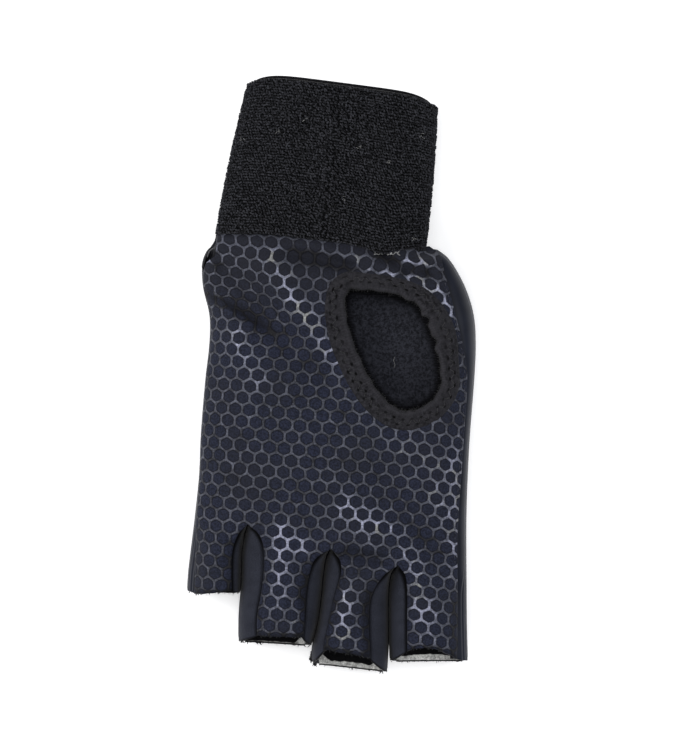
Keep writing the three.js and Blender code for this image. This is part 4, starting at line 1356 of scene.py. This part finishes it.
def finger_wall(finger, side):
    """The side wall of a finger, row by row from the crotch or the knuckle line to its tip."""
    palm = palm_finger(finger, 12, FINGER_ROWS)
    edge, near = (palm[:, -1], palm[:, -2]) if side else (palm[:, 0], palm[:, 1])
    out = np.linspace(0, 1, FINGER_ROWS + 1)[:, None]
    outer = finger + side in (0, 4)
    leaf = None if outer else LEAVES[finger - 1 + side]
    start = (KNUCKLE_LEFT_Y, KNUCKLE_RIGHT_Y)[side] if outer else leaf.rows[-1, 0]
    y = lerp(start, TIPS[finger]["back_tip"][side] + TIP_CLEARANCE, out)
    into = -1.0 if side else 1.0
    turn = np.ones_like(out) if outer else smoothstep(out, 0, 0.3)
    slope = (near[:, 2:] - edge[:, 2:]) / np.abs(near[:, :1] - edge[:, :1])
    beside = edge + np.concatenate([into * turn, 1 - turn, slope * turn], axis=1)
    gap = 0.12 + (0.0 if outer else TIP_GAPS[finger - 1 + side] * smoothstep(out, 0.75, 1))
    foot = np.concatenate([finger_side(finger, side, y, FULL_LINES) + into * gap, y], axis=1)
    height = (RIM_HEIGHT if outer else PAD_THICKNESS) - 0.5
    wall = wall_rows(edge, beside, foot, height, 2.0 if outer else 2.3, 0.2 if outer else 0.7)
    wall[..., 1] += out**8 * ragged(np.full(FINGER_ROWS + 1, finger * 3.0 + side), 4.0)[:, None]
    return wall


def slit_light(wall, leaf):
    """How much of a gusset is lit, which sets its painted shade: dark under the palm's edge and down in the
    slit.
    """
    plan = wall[..., :2]
    from_palm = np.linalg.norm(plan - plan[:, 1:2], axis=2)
    from_slit = np.linalg.norm(plan - plan[:, -1:], axis=2)
    shorter_tip = max(TIPS[leaf]["back_tip"][1], TIPS[leaf + 1]["back_tip"][0])
    shut = smoothstep(wall[..., 1], shorter_tip - 0.3, shorter_tip + 2.0)
    deep = shut * (1 - smoothstep(from_slit, 0.2, 1.3))
    along = np.cumsum(np.linalg.norm(np.diff(plan, axis=0, prepend=plan[:1]), axis=2), axis=0)
    to_tip = np.minimum(along, along[-1:] - along)
    share = smoothstep(from_palm, 1.0, 2.3) * (1 - deep) * smoothstep(to_tip, 0.1, 0.8)
    share[:, :2] = 0
    return share


def wall_cloth(wall):
    """Millimetres along a wall and up it, from its foot."""
    run = np.linalg.norm(np.diff(wall, axis=0), axis=2).mean(axis=1)
    along = np.concatenate([[0], np.cumsum(run)])[:, None]
    rise = np.linalg.norm(np.diff(wall, axis=1), axis=2)
    up = np.concatenate([np.cumsum(rise[:, ::-1], axis=1)[:, ::-1], np.zeros((len(wall), 1))], axis=1)
    return stack(along, up)


def sew_gussets(settings):
    finish = stretch_knit(settings)
    for index, name in enumerate(GUSSETS):
        after = finger_wall(index + 1, 0)[::-1]
        before = finger_wall(index, 1)
        wall = np.concatenate([after, before[1:]])
        puckers = mottle(wall * [1.0, 0.35, 0.6], 2.6, index * 5.0)
        puckers = puckers * np.sin(np.linspace(0, math.pi, wall.shape[1]))[None]
        wall[..., 0] += 0.14 * puckers
        wall[..., 2] += 0.22 * puckers
        grid = (wall, wall_cloth(wall), slit_light(wall, index))
        lay_cloth(name + "_knit", grid, finish, [name], GUSSET_CLOTH)


def gape(y):
    """1 in the middle of the pucker, 0 at its ends."""
    share = np.clip((PUCKER["top"] - y) / (PUCKER["top"] - PUCKER["bottom"]), 0, 1)
    return np.sin(math.pi * share) ** 0.7


def side_wall(side):
    """The wall down one side of the hand and its outer finger, which starts tucked into the wrist seam."""
    down = np.linspace(0, 1, SIDE_ROWS + 1)[:, None]
    x, y = hand_plan(np.array([[float(side)]]), down, "palm_left", "palm_right")
    into = -1.0 if side else 1.0
    edge = np.concatenate([x, y, palm_height(x, y) - wrist_roll(x, y, palm_height(x, y))], axis=1)
    near_x = x + into * 1.2
    near_z = palm_height(near_x, y)
    beside = np.concatenate([near_x, y, near_z - wrist_roll(near_x, y, near_z)], axis=1)
    foot = np.concatenate([OUTLINE.at("right" if side else "left", y) + into * 0.15, y], axis=1)
    hand = wall_rows(edge, beside, foot, RIM_HEIGHT - 0.5, 2.0, 0.2)
    if side == 0:
        hollow = gape(hand[..., 1]) * np.sin(np.linspace(0, math.pi, hand.shape[1]))
        hand[..., 2] -= 2.6 * hollow
    finger = finger_wall(3 if side else 0, side)
    tuck = np.linspace(1, 0, 6)[:-1, None, None]
    tucked = hand[:1] + tuck * [[[TUCK_ASIDE[side], TUCK_ALONG, 0.0]]]
    tucked[..., 2] -= TUCK_DOWN * tuck[..., 0] * smoothstep(hand[:1, :, 2], 11.0, 16.0)
    wall = np.concatenate([tucked, hand, finger[1:]])
    return wall[::-1] if side == 0 else wall


def side_light(wall, side):
    """How much of a side panel is lit, which sets its painted shade: dark under the palm's edge and in the
    pucker.
    """
    share = np.ones(wall.shape[:2])
    share[:, :3] = [0.0, 0.25, 0.8]
    if side == 0:
        share *= 1 - 0.9 * gape(wall[..., 1])
    return share


def pucker_lip(finish):
    """The side panel's cloth where it stands away from the palm at the wrist, dimmed by painted shade, with
    a dark thread along its cut edge and a pale one along its fold as a painted highlight.
    """
    down = np.linspace(0, 1, 33)[:, None]
    y = lerp(PUCKER["top"], PUCKER["bottom"], down)
    rise = np.sin(math.pi * down**1.15) ** 0.85
    up = np.linspace(0, 1, 9)[None]
    bulge = 0.7 * np.sin(math.pi * up) * rise - 0.3 * up * rise
    x = OUTLINE.at("left", y) + 0.35 - bulge + 0 * up
    points = stack(x, y, RIM_HEIGHT - 0.6 + (0.8 + PUCKER["height"] * rise) * up)
    # The lip is dimmed to a quarter by painted shade
    grid = (points, stack(y, 20 * up), np.full_like(x, 0.25))
    lay_cloth("side_pucker", grid, finish, [], LIP_CLOTH)
    edge = points[:, -1] + [0.1, 0.0, 0.0]
    dark = thread_yarn("cut_edge", (0.006, 0.006, 0.007), 0.9)
    lay_threads("pucker_edge", edge[None], 0.2, dark, sides=6)
    bend = np.linspace(0, 1, 13)[:, None]
    start, pull, end = (np.array(point) for point in PUCKER["fold"])
    fold = (1 - bend) ** 2 * start + 2 * bend * (1 - bend) * pull + bend**2 * end
    # A pale thread along the fold, a painted highlight
    light = thread_yarn("painted_fold_highlight", (0.085, 0.085, 0.09), 0.8)
    lay_threads("pucker_fold_highlight", fold[None], 0.24, light, sides=6, taper=0.3)


def sew_side_panels(settings):
    finish = coated_side(settings)
    thread = thread_yarn("side_thread", (0.045, 0.047, 0.06))
    for side, name in enumerate(("side_panel_little", "side_panel_thumb")):
        wall = side_wall(side)
        grid = (wall, wall_cloth(wall), side_light(wall, side))
        lay_cloth(name + "_cloth", grid, finish, [name], SIDE_CLOTH)
    pucker_lip(finish)
    paths = dashes(palm_edge_line(side=1, inset=0.9), pitch=2.2, length=1.3, lift=0.12)
    lay_threads("side_seam_stitches", paths, 0.11, thread, sides=5)


def palm_edge_line(side, inset):
    """A dense line of points on the palm, inset from its outer edge, from the wrist to the fingertip."""
    down = np.linspace(0.05, 1, 260)[:, None]
    x, y = hand_plan(np.array([[float(side)]]), down, "palm_left", "palm_right")
    finger = palm_finger(3 if side else 0, 2, 120)[1:, -1 if side else 0]
    x = np.concatenate([x[:, 0], finger[:, 0]]) + (-inset if side else inset)
    y = np.concatenate([y[:, 0], finger[:, 1]])
    height = np.concatenate([palm_height(x[:260], y[:260]), finger[:, 2] + 0.25])
    return stack(x, y, height + 0.05)


def dashes(line, pitch, length, lift):
    """Short stitches along a line of points, each a path of four points that rises out of the cloth."""
    run = run_along(line)
    starts = np.arange(0.6, run[-1] - pitch, pitch)
    places = starts[:, None] + np.linspace(0, length, 4)[None]
    points = stack(*(np.interp(places, run, line[:, k]) for k in range(3)))
    points[:, [1, 2], 2] += lift
    points[:, [0, 3], 2] -= 0.25
    return points


# The padded back


def pad_underside(u, edge):
    """Height of the rounded underside, 0 where it is pressed flat, at u from the middle to the side."""
    rounding = edge * (1 - (1 - u**PAD_FULLNESS) ** (1 / PAD_FULLNESS))
    return np.maximum(0, rounding * (1 + SEAT_DEPTH / edge) - SEAT_DEPTH)


def pad_top(x, y):
    return PAD_THICKNESS + (RIM_HEIGHT - PAD_THICKNESS) * smoothstep(outwardness(x, y), 0.88, 1)


def channel(place, centre, half_width):
    """1 in the middle of a flex channel, 0 beyond its sides."""
    return np.maximum(0, 1 - np.abs(place - centre) / half_width)


def pad_patches():
    """Top and bottom grids of the padded back, and how firmly each bottom point is sewn down."""
    for finger in range(4):
        even = np.linspace(0, 1, PAD_CELLS + 1)[None]
        root = track_shares(finger, even)
        shares = lerp(TRACK_EDGES[finger], TRACK_EDGES[finger + 1], root)
        down = np.linspace(0, 1, PAD_ROWS + 1)[:, None]
        x, y = hand_plan(shares, down, "left", "right")
        groove = channel(down, KNUCKLE_CHANNEL, 0.024) + 0 * x
        under = pad_underside(outwardness(x, y), RIM_HEIGHT - PAD_EDGE)
        yield finger, "hand", x, y, pad_top(x, y), under + CHANNEL_DEPTH * groove, groove
        out = np.linspace(0, 1, PAD_FINGER_ROWS + 1)[:, None]
        fx, fy = finger_plan(finger, root, even, out, FULL_LINES, TIPS[finger]["back_tip"])
        gaps = (0, *TIP_GAPS, 0)
        spread = smoothstep(out, 0.7, 1)
        lap = 0.05 * smoothstep(out, 0, 0.15)
        start_gap = float(finger > 0) * (gaps[finger] * spread - lap)
        end_gap = float(finger < 3) * (gaps[finger + 1] * spread - lap)
        fx = fx + start_gap * (even == 0) - end_gap * (even == 1)
        groove = channel(out, FINGER_CHANNEL, 0.075) + 0 * fx
        own = pad_underside(np.abs(2 * even - 1), PAD_THICKNESS - FINGER_EDGE) + 0 * fx
        shared = pad_underside(outwardness(fx, fy), RIM_HEIGHT - PAD_EDGE)
        under = np.maximum(lerp(shared, own, smoothstep(out, 0, 0.3)), shared)
        yield finger, "stall", fx, fy, pad_top(fx, fy), under + CHANNEL_DEPTH * groove, groove


def pad_walls(top, bottom, closed_edges):
    """Rounded walls between the edges of a top and a bottom grid."""
    for edge in closed_edges:
        take = {"left": np.s_[:, 0], "right": np.s_[:, -1], "start": np.s_[0], "end": np.s_[-1]}[edge]
        a, b = top[take], bottom[take]
        rows = np.stack([lerp(a, b, s) for s in np.linspace(0, 1, 4)])
        yield rows, edge in ("right", "start")


def build_pad():
    """One closed mesh of the hand's back and its four fingers, before the foam swells."""
    work = Patchwork()
    hands = {}
    for finger, part, x, y, top_z, bottom_z, groove in pad_patches():
        top, bottom = stack(x, y, top_z), stack(x, y, bottom_z)
        if part == "hand":
            hands[finger] = (top, bottom)
            edges = {0: ["start", "left"], 3: ["start", "right"]}.get(finger, ["start"])
        else:
            top[0], bottom[0] = hands[finger][0][-1], hands[finger][1][-1]
            edges = ["left", "right", "end"]
        work.add(top, wear=np.ones_like(x)).add(bottom, wear=np.minimum(1, groove * 2), flip=True)
        for rows, flip in pad_walls(top, bottom, edges):
            work.add(rows, wear=np.full(rows.shape[:2], 0.6), flip=flip)
    return work.mesh("padded_back_foam")


def swell(piece, pressure):
    """Lets the foam swell under its cloth by a short simulation, and presses it flat where it rests."""
    mesh = piece.data
    rest = np.zeros(len(mesh.vertices) * 3)
    mesh.vertices.foreach_get("co", rest)
    rest = rest.reshape(-1, 3)
    sewn = np.zeros(len(mesh.vertices))
    mesh.attributes["wear"].data.foreach_get("value", sewn)
    group = piece.vertex_groups.new(name="sewn")
    for i, weight in enumerate(sewn):
        group.add([i], float(weight), "REPLACE")
    modifier = piece.modifiers.new("Swell", "CLOTH")
    cloth = modifier.settings
    cloth.vertex_group_mass = "sewn"
    cloth.pin_stiffness = 1.0
    cloth.use_pressure = True
    cloth.uniform_pressure_force = pressure
    cloth.tension_stiffness = cloth.compression_stiffness = 30
    cloth.bending_stiffness = 4
    cloth.effector_weights.gravity = 0
    scene = bpy.context.scene
    for frame in range(1, SWELL_FRAMES + 1):
        scene.frame_set(frame)
    graph = bpy.context.evaluated_depsgraph_get()
    moved = np.zeros(len(rest) * 3)
    piece.evaluated_get(graph).data.vertices.foreach_get("co", moved)
    piece.modifiers.remove(modifier)
    piece.vertex_groups.clear()
    scene.frame_set(1)
    shift = (moved.reshape(-1, 3) - rest) * (1 - sewn)[:, None]
    length = np.linalg.norm(shift, axis=1, keepdims=True)
    shift *= np.minimum(1, SWELL_CAP * MM / np.maximum(length, 1e-9))
    final = rest + shift
    final[:, 2] = np.clip(final[:, 2], 0, None)
    mesh.vertices.foreach_set("co", final.ravel())
    mesh.update()


def stuff_padded_back(settings):
    """The foam-filled back, one closed piece for the hand and its four fingers."""
    piece = put(build_pad(), padded_cloth(settings), ["padded_back"])
    face_outwards(piece)
    swell(piece, settings.pad_pressure)
    apply_modifier(piece, "SUBSURF", levels=1, render_levels=1, boundary_smooth="PRESERVE_CORNERS")


# Linings

def light_through_hole(x, y):
    """How brightly the lining is lit through the thumb hole: 1 in its middle, 0 from its rim outwards."""
    rim = thumb_ring(120, np.array([0.0]))[:, 0]
    away = np.hypot(x[..., None] - rim[:, 0], y[..., None] - rim[:, 1]).min(axis=-1)
    return np.where(inside_thumb_hole(x, y, 0.0), smoothstep(away, -1.0, 4.6), 0.0)


def lay_hand_lining(finish):
    """The fleece inside the back of the hand, up to the wrist seam and both sides."""
    share = lerp(0.05, 0.985, np.linspace(0, 1, 111))[None]
    down = lerp(0.004, 0.96, np.linspace(0, 1, 131))[:, None]
    x, y = hand_plan(share, down, "left", "right")
    z = pad_top(x, y) + 0.5 + 0.3 * mottle(stack(x, y), 9.0, 8.0)
    grid = (stack(x, y, np.minimum(z, 9.75) + 1.0), stack(x, y), light_through_hole(x, y))
    lay_cloth("hand_lining_fleece", grid, finish, ["hand_lining"], FLEECE_CLOTH)


def lay_finger_lining(finger, name, finish):
    """The inner face of a finger's back, curled up at its sides, with raw foam along its cut end."""
    share = lerp(0.1, 0.9, np.linspace(0, 1, 41))[None]
    out = (1 - (1 - np.linspace(0.04, 0.995, 61)) ** 1.6)[:, None]
    x, y = finger_plan(finger, share, share, out, FULL_LINES, TIPS[finger]["back_tip"])
    y = y + 0.3 * out**12 * ragged(x, finger + 20.0)
    curl = 3.0 * np.abs(2 * share - 1) ** 5 * smoothstep(out, 0.3, 0.7)
    z = pad_top(x, y) + 0.6 + curl + 0.2 * mottle(stack(x, y), 4.0, finger * 3.0)
    middle, start, end = RAW_EDGE[name]
    raw = middle * (1 - np.abs(2 * share - 1) ** 2.2)
    raw = raw + start * smoothstep(share, 0.26, 0.13) + end * smoothstep(share, 0.74, 0.87) + 0 * y
    grid = (stack(x, y, z + 0.8), stack(x, y - y[-1:]), raw)
    node = f"finger_lining_{name}"
    lay_cloth(node + "_cloth", grid, finish, [node], FINGER_LINING_CLOTH)


def lay_linings(settings):
    lay_hand_lining(brushed_fleece("black_fleece", settings.fleece_color, shaded=True))
    foam = raw_foam(settings)
    for finger, name in enumerate(FINGERS):
        lay_finger_lining(finger, name, foam)


# The cuff


def cuff_point(angle, share, inset, rise):
    """A point of the flattened tube at an angle round it, a share of the way from the seam to the rim."""
    c, s = np.cos(angle), np.sin(angle)
    power = 2 / CUFF_FULLNESS
    wide = np.sign(c) * np.abs(c) ** power
    high = np.sign(s) * np.abs(s) ** power
    half_height = lerp(CUFF_BASE["half_height"], CUFF_TOP["half_height"], share) - inset
    base_x = CUFF_BASE["x"] + wide * (CUFF_BASE["half_width"] - inset)
    base_y = WRIST_LINE.at("y", base_x) + WRIST_GAP
    arch = np.where(s > 0, CUFF_RIM["palm"], CUFF_RIM["back"])
    lift = CUFF_RIM["ends"] + arch * (1 - np.abs(wide) ** CUFF_RIM_SQUARENESS) + rise
    reach = wide * (CUFF_TOP["half_width"] - inset)
    rim_x = CUFF_TOP["x"] + reach * math.cos(CUFF_LEAN) + lift * math.sin(CUFF_LEAN)
    rim_y = CUFF_TOP["y"] - reach * math.sin(CUFF_LEAN) + lift * math.cos(CUFF_LEAN)
    barrel = 4 * CUFF_BARREL * share * (1 - share) * wide
    z = lerp(CUFF_BASE["z"], CUFF_TOP["z"], share) + high * half_height
    return stack(lerp(base_x, rim_x, share) + barrel, lerp(base_y, rim_y, share), z)


def even_angles(count):
    """Angles whose points are evenly spaced round the cuff, starting at the thumb side."""
    fine = np.linspace(0, 2 * math.pi, 2001)
    line = cuff_point(fine, np.full_like(fine, 0.5), 0.0, 0.0)
    run = run_along(line)
    return np.interp(np.linspace(0, run[-1], count, endpoint=False), run, fine), run[-1]


def cuff_tube(name, inset, wall, rise, foot):
    """A closed tube of cloth with a rounded rim."""
    angles, _ = even_angles(180)
    outer = np.linspace(foot, 1, 22)
    turn = np.linspace(0, math.pi, 7)[1:-1]
    shares = np.concatenate([outer, 1 + 0 * turn, outer[::-1]])
    insets = np.concatenate([0 * outer, wall * (1 - np.cos(turn)) / 2, wall + 0 * outer])
    rises = np.concatenate([0 * outer, wall / 2 * np.sin(turn), 0 * outer]) - wall / 2
    points = cuff_point(angles[:, None], shares[None], inset + insets[None], rise + rises[None])
    return make_mesh(name, points.reshape(-1, 3), closed_ring(points).tolist())


def short_threads(place, angle, length):
    """Plan points of short straight threads, each round its own place."""
    heading = stack(np.cos(angle), np.sin(angle))[:, None]
    steps = np.linspace(-0.5, 0.5, 4)[None, :, None]
    return place[:, None] + heading * length * steps


def lay_loose_threads(rng):
    """Pale thread ends caught in the wrist seam, and one lying on the lining in the thumb hole."""
    count = 16
    x = rng.uniform(15.5, 25.0, count)
    y = 44.4 + rng.normal(0, 0.35, count)
    turn = rng.uniform(-0.5, 0.9, count)
    plan = short_threads(stack(x, y), turn, rng.uniform(0.7, 1.6, count)[:, None, None])
    x, y = plan[..., 0], plan[..., 1]
    height = palm_height(x, y, FOLDS + CREASES) + 0.2 - 0.8 * smoothstep(y, 43.4, 45.2)
    loose = np.array([[(23.4, 6.6, 10.9), (23.0, 5.2, 11.2), (23.5, 3.6, 11.2), (23.1, 2.2, 10.9)]])
    paths = np.concatenate([stack(x, y, height), loose])
    radius = np.append(np.full(count, 0.13), 0.07)
    lay_threads("loose_threads", paths, radius, thread_yarn("pale_thread", (0.3, 0.3, 0.3)))


def lay_lint(rng):
    """Pale specks of lint on the cuff, three threads each."""
    count = 3 * len(LINT)
    place = np.repeat(np.array(LINT), 3, axis=0) + rng.normal(0, 0.5, (count, 2))
    plan = short_threads(place, rng.uniform(0, math.pi, count), 1.1)
    paths = stack(plan[..., 0], plan[..., 1], 20.9 + 0.25 * rng.random((count, 4)))
    lay_threads("cuff_lint", paths, 0.06, thread_yarn("pale_lint", (0.34, 0.34, 0.33)), sides=3)


def loop_row(angles, share, settings, rng):
    """One row of loops, each a path of four points that stands out of the cuff."""
    count = len(angles)
    centre = cuff_point(angles, share, LOOP_INSET, 0.0)
    beside = cuff_point(angles + 0.01, share, LOOP_INSET, 0.0) - centre
    upward = cuff_point(angles, share + 0.01, LOOP_INSET, 0.0) - centre
    beside /= np.linalg.norm(beside, axis=1, keepdims=True)
    upward /= np.linalg.norm(upward, axis=1, keepdims=True)
    outward = np.cross(upward, beside)
    centre += outward * (0.08 + 0.17 * mottle(centre, 2.2, 4.0) + 0.1 * mottle(centre, 7.0, 9.0))[:, None]
    heading = rng.normal(0.5, 0.3, count)[:, None]
    along = beside * np.cos(heading) + upward * np.sin(heading)
    cross = -beside * np.sin(heading) + upward * np.cos(heading)
    length = rng.uniform(0.85, 1.2, count)[:, None]
    height = settings.loop_height * rng.uniform(0.65, 1.2, count)[:, None]
    bend = rng.normal(0, 0.22, count)[:, None]
    return np.stack(
        [
            centre
            + along * length * (step - 0.5)
            + outward * height * math.sin(math.pi * step)
            + cross * bend * sway
            for step, sway in ((0.0, 0.0), (0.32, 0.8), (0.68, -0.8), (1.0, 0.0))
        ],
        axis=1,
    )


def knit_loops(settings, rng):
    """The loop pile, in one piece for the palm side of the cuff and one for its back."""
    spacing = settings.loop_spacing
    rows = int(CUFF_LENGTH / (spacing * LOOP_ROW_SHARE))
    _, around = even_angles(8)
    count = int(around / spacing)
    angles, _ = even_angles(count)
    step = 2 * math.pi / count
    halves = {"cuff_loops_palm": [], "cuff_loops_back": []}
    for row in range(rows):
        share = 1.02 * (row + 0.5) / rows - 0.022 + rng.normal(0, 0.13 / rows, count)
        turned = angles + step * (0.5 * (row % 2) + rng.normal(0, 0.1, count))
        paths = loop_row(turned, np.clip(share, -0.024, 1.0), settings, rng)
        palm_side = np.sin(turned) >= 0
        halves["cuff_loops_palm"].append(paths[palm_side])
        halves["cuff_loops_back"].append(paths[~palm_side])
    pile = loop_yarn(settings)
    for name, paths in halves.items():
        paths = np.concatenate(paths)
        paths[..., 2] = np.maximum(paths[..., 2], 0.4)
        lay_threads(name, paths, rng.uniform(0.29, 0.38, len(paths)), pile, taper=0.85)


def knit_cuff(settings):
    """The cuff's two tubes, its loops, and what has caught in them."""
    # The backing is the cuff's own cloth, made a fifth as bright as the yarn as painted shade down between
    # the loops
    shaded_backing = brushed_fleece("cuff_backing", tuple(0.2 * c for c in settings.pile_color))
    elastic = brushed_fleece("smooth_elastic", (0.007, 0.007, 0.008), per_mm=900, depth=0.04)
    inner = cuff_tube(
        "cuff_lining_elastic",
        inset=CUFF_WALL + SEAM_GAP,
        wall=CUFF_LINING_WALL,
        rise=CUFF_LINING_RISE + 0.5,
        foot=0.0,
    )
    outer = cuff_tube("cuff_backing_tube", inset=0.75, wall=CUFF_BACKING_CLOTH, rise=0.3, foot=-0.02)
    tube = put(outer, shaded_backing, ["cuff"])
    lining = put(inner, elastic, ["cuff_lining"])
    for piece in (tube, lining):
        face_outwards(piece)
        declare_sheet(piece)
    rng = np.random.default_rng(5)
    knit_loops(settings, rng)
    lay_loose_threads(rng)
    lay_lint(rng)


# Frayed edges


def loose_ends(start, heading, reach, curl, first):
    """Paths of curled threads that begin a little way back from their starts."""
    steps = np.linspace(first, 1, 5)[None, :, None]
    return start[:, None] + (heading * reach)[:, None] * steps + (curl * reach)[:, None] * steps**2


def fray_line(line, count, longest, rng):
    """Loose threads here and there along a cut edge."""
    start = line[rng.integers(0, len(line), count)] + rng.normal(0, 0.12, (count, 3))
    lean = rng.normal(0, 0.5, (count, 1))
    heading = np.concatenate([lean, -np.ones((count, 1)), rng.normal(0, 0.35, (count, 1))], axis=1)
    reach = rng.uniform(0.25, longest, (count, 1))
    return loose_ends(start, heading, reach, rng.normal(0, 0.35, (count, 3)), -0.35)


def tuft(x, y, across, along, count, rng):
    """Threads that are crowded round one place."""
    start = np.array([x, y, 6.0]) + rng.uniform(-1, 1, (count, 3)) * [across, along, 2.6]
    heading = np.array([-0.25, -0.8, 0.1]) + rng.normal(0, 0.45, (count, 3))
    reach = rng.uniform(0.3, 1.1, (count, 1))
    return loose_ends(start, heading, reach, rng.normal(0, 0.4, (count, 3)), -0.6)


def fray_edges():
    """Short loose threads at the cut tips of the fingers, and tufts at their corners."""
    rng = np.random.default_rng(23)
    fringe = []
    for finger in range(4):
        palm = palm_finger(finger, 60, 20)
        even = np.linspace(0.02, 0.98, 70)[None]
        x, y = finger_plan(finger, even, even, np.array([[1.0]]), FULL_LINES, TIPS[finger]["back_tip"])
        back = stack(x, y, pad_top(x, y) - 0.5)[0]
        fringe.append(fray_line(palm[-1], count=26, longest=0.5, rng=rng))
        fringe.append(fray_line(back, count=34, longest=0.8, rng=rng))
    fringe = np.concatenate(fringe)
    tufts = np.concatenate([tuft(*row, rng) for row in TUFTS])
    count = len(fringe) + len(tufts)
    thin, thick = rng.uniform(0.05, 0.13, count), rng.uniform(0.14, 0.32, count)
    radius = np.where(np.arange(count) < len(fringe), thin, thick)
    finish = thread_yarn("frayed_thread", (0.009, 0.009, 0.011), 0.9)
    lay_threads("finger_end_threads", np.concatenate([fringe, tufts]), radius, finish)


# Operators


class HOCKEYGLOVE_OT_stage(bpy.types.Operator):
    """Hang the camera over the palm and set the floor and the soft lights"""

    bl_idname = "hockeyglove.stage"
    bl_label = "Stage"

    def execute(self, context):
        scene = context.scene
        camera = bpy.data.objects.new("camera", bpy.data.cameras.new("camera"))
        scene.collection.objects.link(camera)
        scene.camera = camera
        camera.location = (CAMERA_X, CAMERA_Y, CAMERA_HEIGHT)
        camera.data.sensor_width = 36
        camera.data.lens = 36 * (CAMERA_HEIGHT - FOCUS_HEIGHT) / FRAME_LONG_SIDE
        camera.data.clip_start = 0.05
        camera.data.clip_end = 20

        bpy.ops.mesh.primitive_plane_add(size=FLOOR_SIZE, location=(0, 0, 0))
        floor = context.object
        floor.name = "floor"
        floor.data.materials.append(plain_floor())

        for name, (place, size, power, color) in LIGHTS.items():
            light = bpy.data.objects.new(name, bpy.data.lights.new(name, "AREA"))
            scene.collection.objects.link(light)
            light.location = place
            light.rotation_euler = (-Vector(place)).to_track_quat("-Z", "Y").to_euler()
            light.data.size = size
            light.data.energy = power
            light.data.color = color
        world = bpy.data.worlds.new("studio")
        world.use_nodes = True
        background = world.node_tree.nodes["Background"]
        background.inputs["Color"].default_value = (0.97, 0.98, 1.0, 1)
        background.inputs["Strength"].default_value = STUDIO_LIGHT
        scene.world = world
        scene.view_settings.view_transform = "Standard"
        return {"FINISHED"}


class HOCKEYGLOVE_OT_padded_back(bpy.types.Operator):
    """Stuff the foam-filled back of the hand and fingers"""

    bl_idname = "hockeyglove.padded_back"
    bl_label = "Padded Back"

    def execute(self, context):
        stuff_padded_back(settings_of(context))
        return {"FINISHED"}


class HOCKEYGLOVE_OT_linings(bpy.types.Operator):
    """Lay the black fleece and the grey finger linings"""

    bl_idname = "hockeyglove.linings"
    bl_label = "Linings"

    def execute(self, context):
        lay_linings(settings_of(context))
        return {"FINISHED"}


class HOCKEYGLOVE_OT_palm(bpy.types.Operator):
    """Sew the printed palm with its four finger faces"""

    bl_idname = "hockeyglove.palm"
    bl_label = "Palm"

    def execute(self, context):
        sew_palm(settings_of(context))
        return {"FINISHED"}


class HOCKEYGLOVE_OT_thumb_binding(bpy.types.Operator):
    """Bind the thumb hole and stitch it"""

    bl_idname = "hockeyglove.thumb_binding"
    bl_label = "Thumb Binding"

    def execute(self, context):
        sew_thumb_binding(settings_of(context))
        return {"FINISHED"}


class HOCKEYGLOVE_OT_gussets(bpy.types.Operator):
    """Sew the stretch gussets between the fingers"""

    bl_idname = "hockeyglove.gussets"
    bl_label = "Gussets"

    def execute(self, context):
        sew_gussets(settings_of(context))
        return {"FINISHED"}


class HOCKEYGLOVE_OT_side_panels(bpy.types.Operator):
    """Sew the coated panels down both sides"""

    bl_idname = "hockeyglove.side_panels"
    bl_label = "Side Panels"

    def execute(self, context):
        sew_side_panels(settings_of(context))
        return {"FINISHED"}


class HOCKEYGLOVE_OT_cuff(bpy.types.Operator):
    """Knit the loop-pile cuff and its lining"""

    bl_idname = "hockeyglove.cuff"
    bl_label = "Cuff"

    def execute(self, context):
        knit_cuff(settings_of(context))
        return {"FINISHED"}


class HOCKEYGLOVE_OT_frayed_ends(bpy.types.Operator):
    """Fray the cut ends of the fingers"""

    bl_idname = "hockeyglove.frayed_ends"
    bl_label = "Frayed Ends"

    def execute(self, context):
        fray_edges()
        return {"FINISHED"}


OPERATORS = (
    HOCKEYGLOVE_OT_stage,
    HOCKEYGLOVE_OT_padded_back,
    HOCKEYGLOVE_OT_linings,
    HOCKEYGLOVE_OT_palm,
    HOCKEYGLOVE_OT_thumb_binding,
    HOCKEYGLOVE_OT_gussets,
    HOCKEYGLOVE_OT_side_panels,
    HOCKEYGLOVE_OT_cuff,
    HOCKEYGLOVE_OT_frayed_ends,
)


class HOCKEYGLOVE_PT_panel(bpy.types.Panel):
    bl_label = "Hockey Glove"
    bl_idname = "HOCKEYGLOVE_PT_panel"
    bl_space_type = "VIEW_3D"
    bl_region_type = "UI"
    bl_category = "Glove"

    def draw(self, context):
        for name in GloveSettings.__annotations__:
            self.layout.prop(settings_of(context), name)
        for operator in OPERATORS:
            self.layout.operator(operator.bl_idname)


def register():
    for cls in (GloveSettings, *OPERATORS, HOCKEYGLOVE_PT_panel):
        bpy.utils.register_class(cls)
    bpy.types.Scene.hockey_glove = bpy.props.PointerProperty(type=GloveSettings)


def unregister():
    del bpy.types.Scene.hockey_glove
    for cls in (HOCKEYGLOVE_PT_panel, *reversed(OPERATORS), GloveSettings):
        bpy.utils.unregister_class(cls)


def main():
    register()
    for operator in OPERATORS:
        getattr(bpy.ops.hockeyglove, operator.bl_idname.split(".")[1])()


if __name__ == "__main__":
    main()
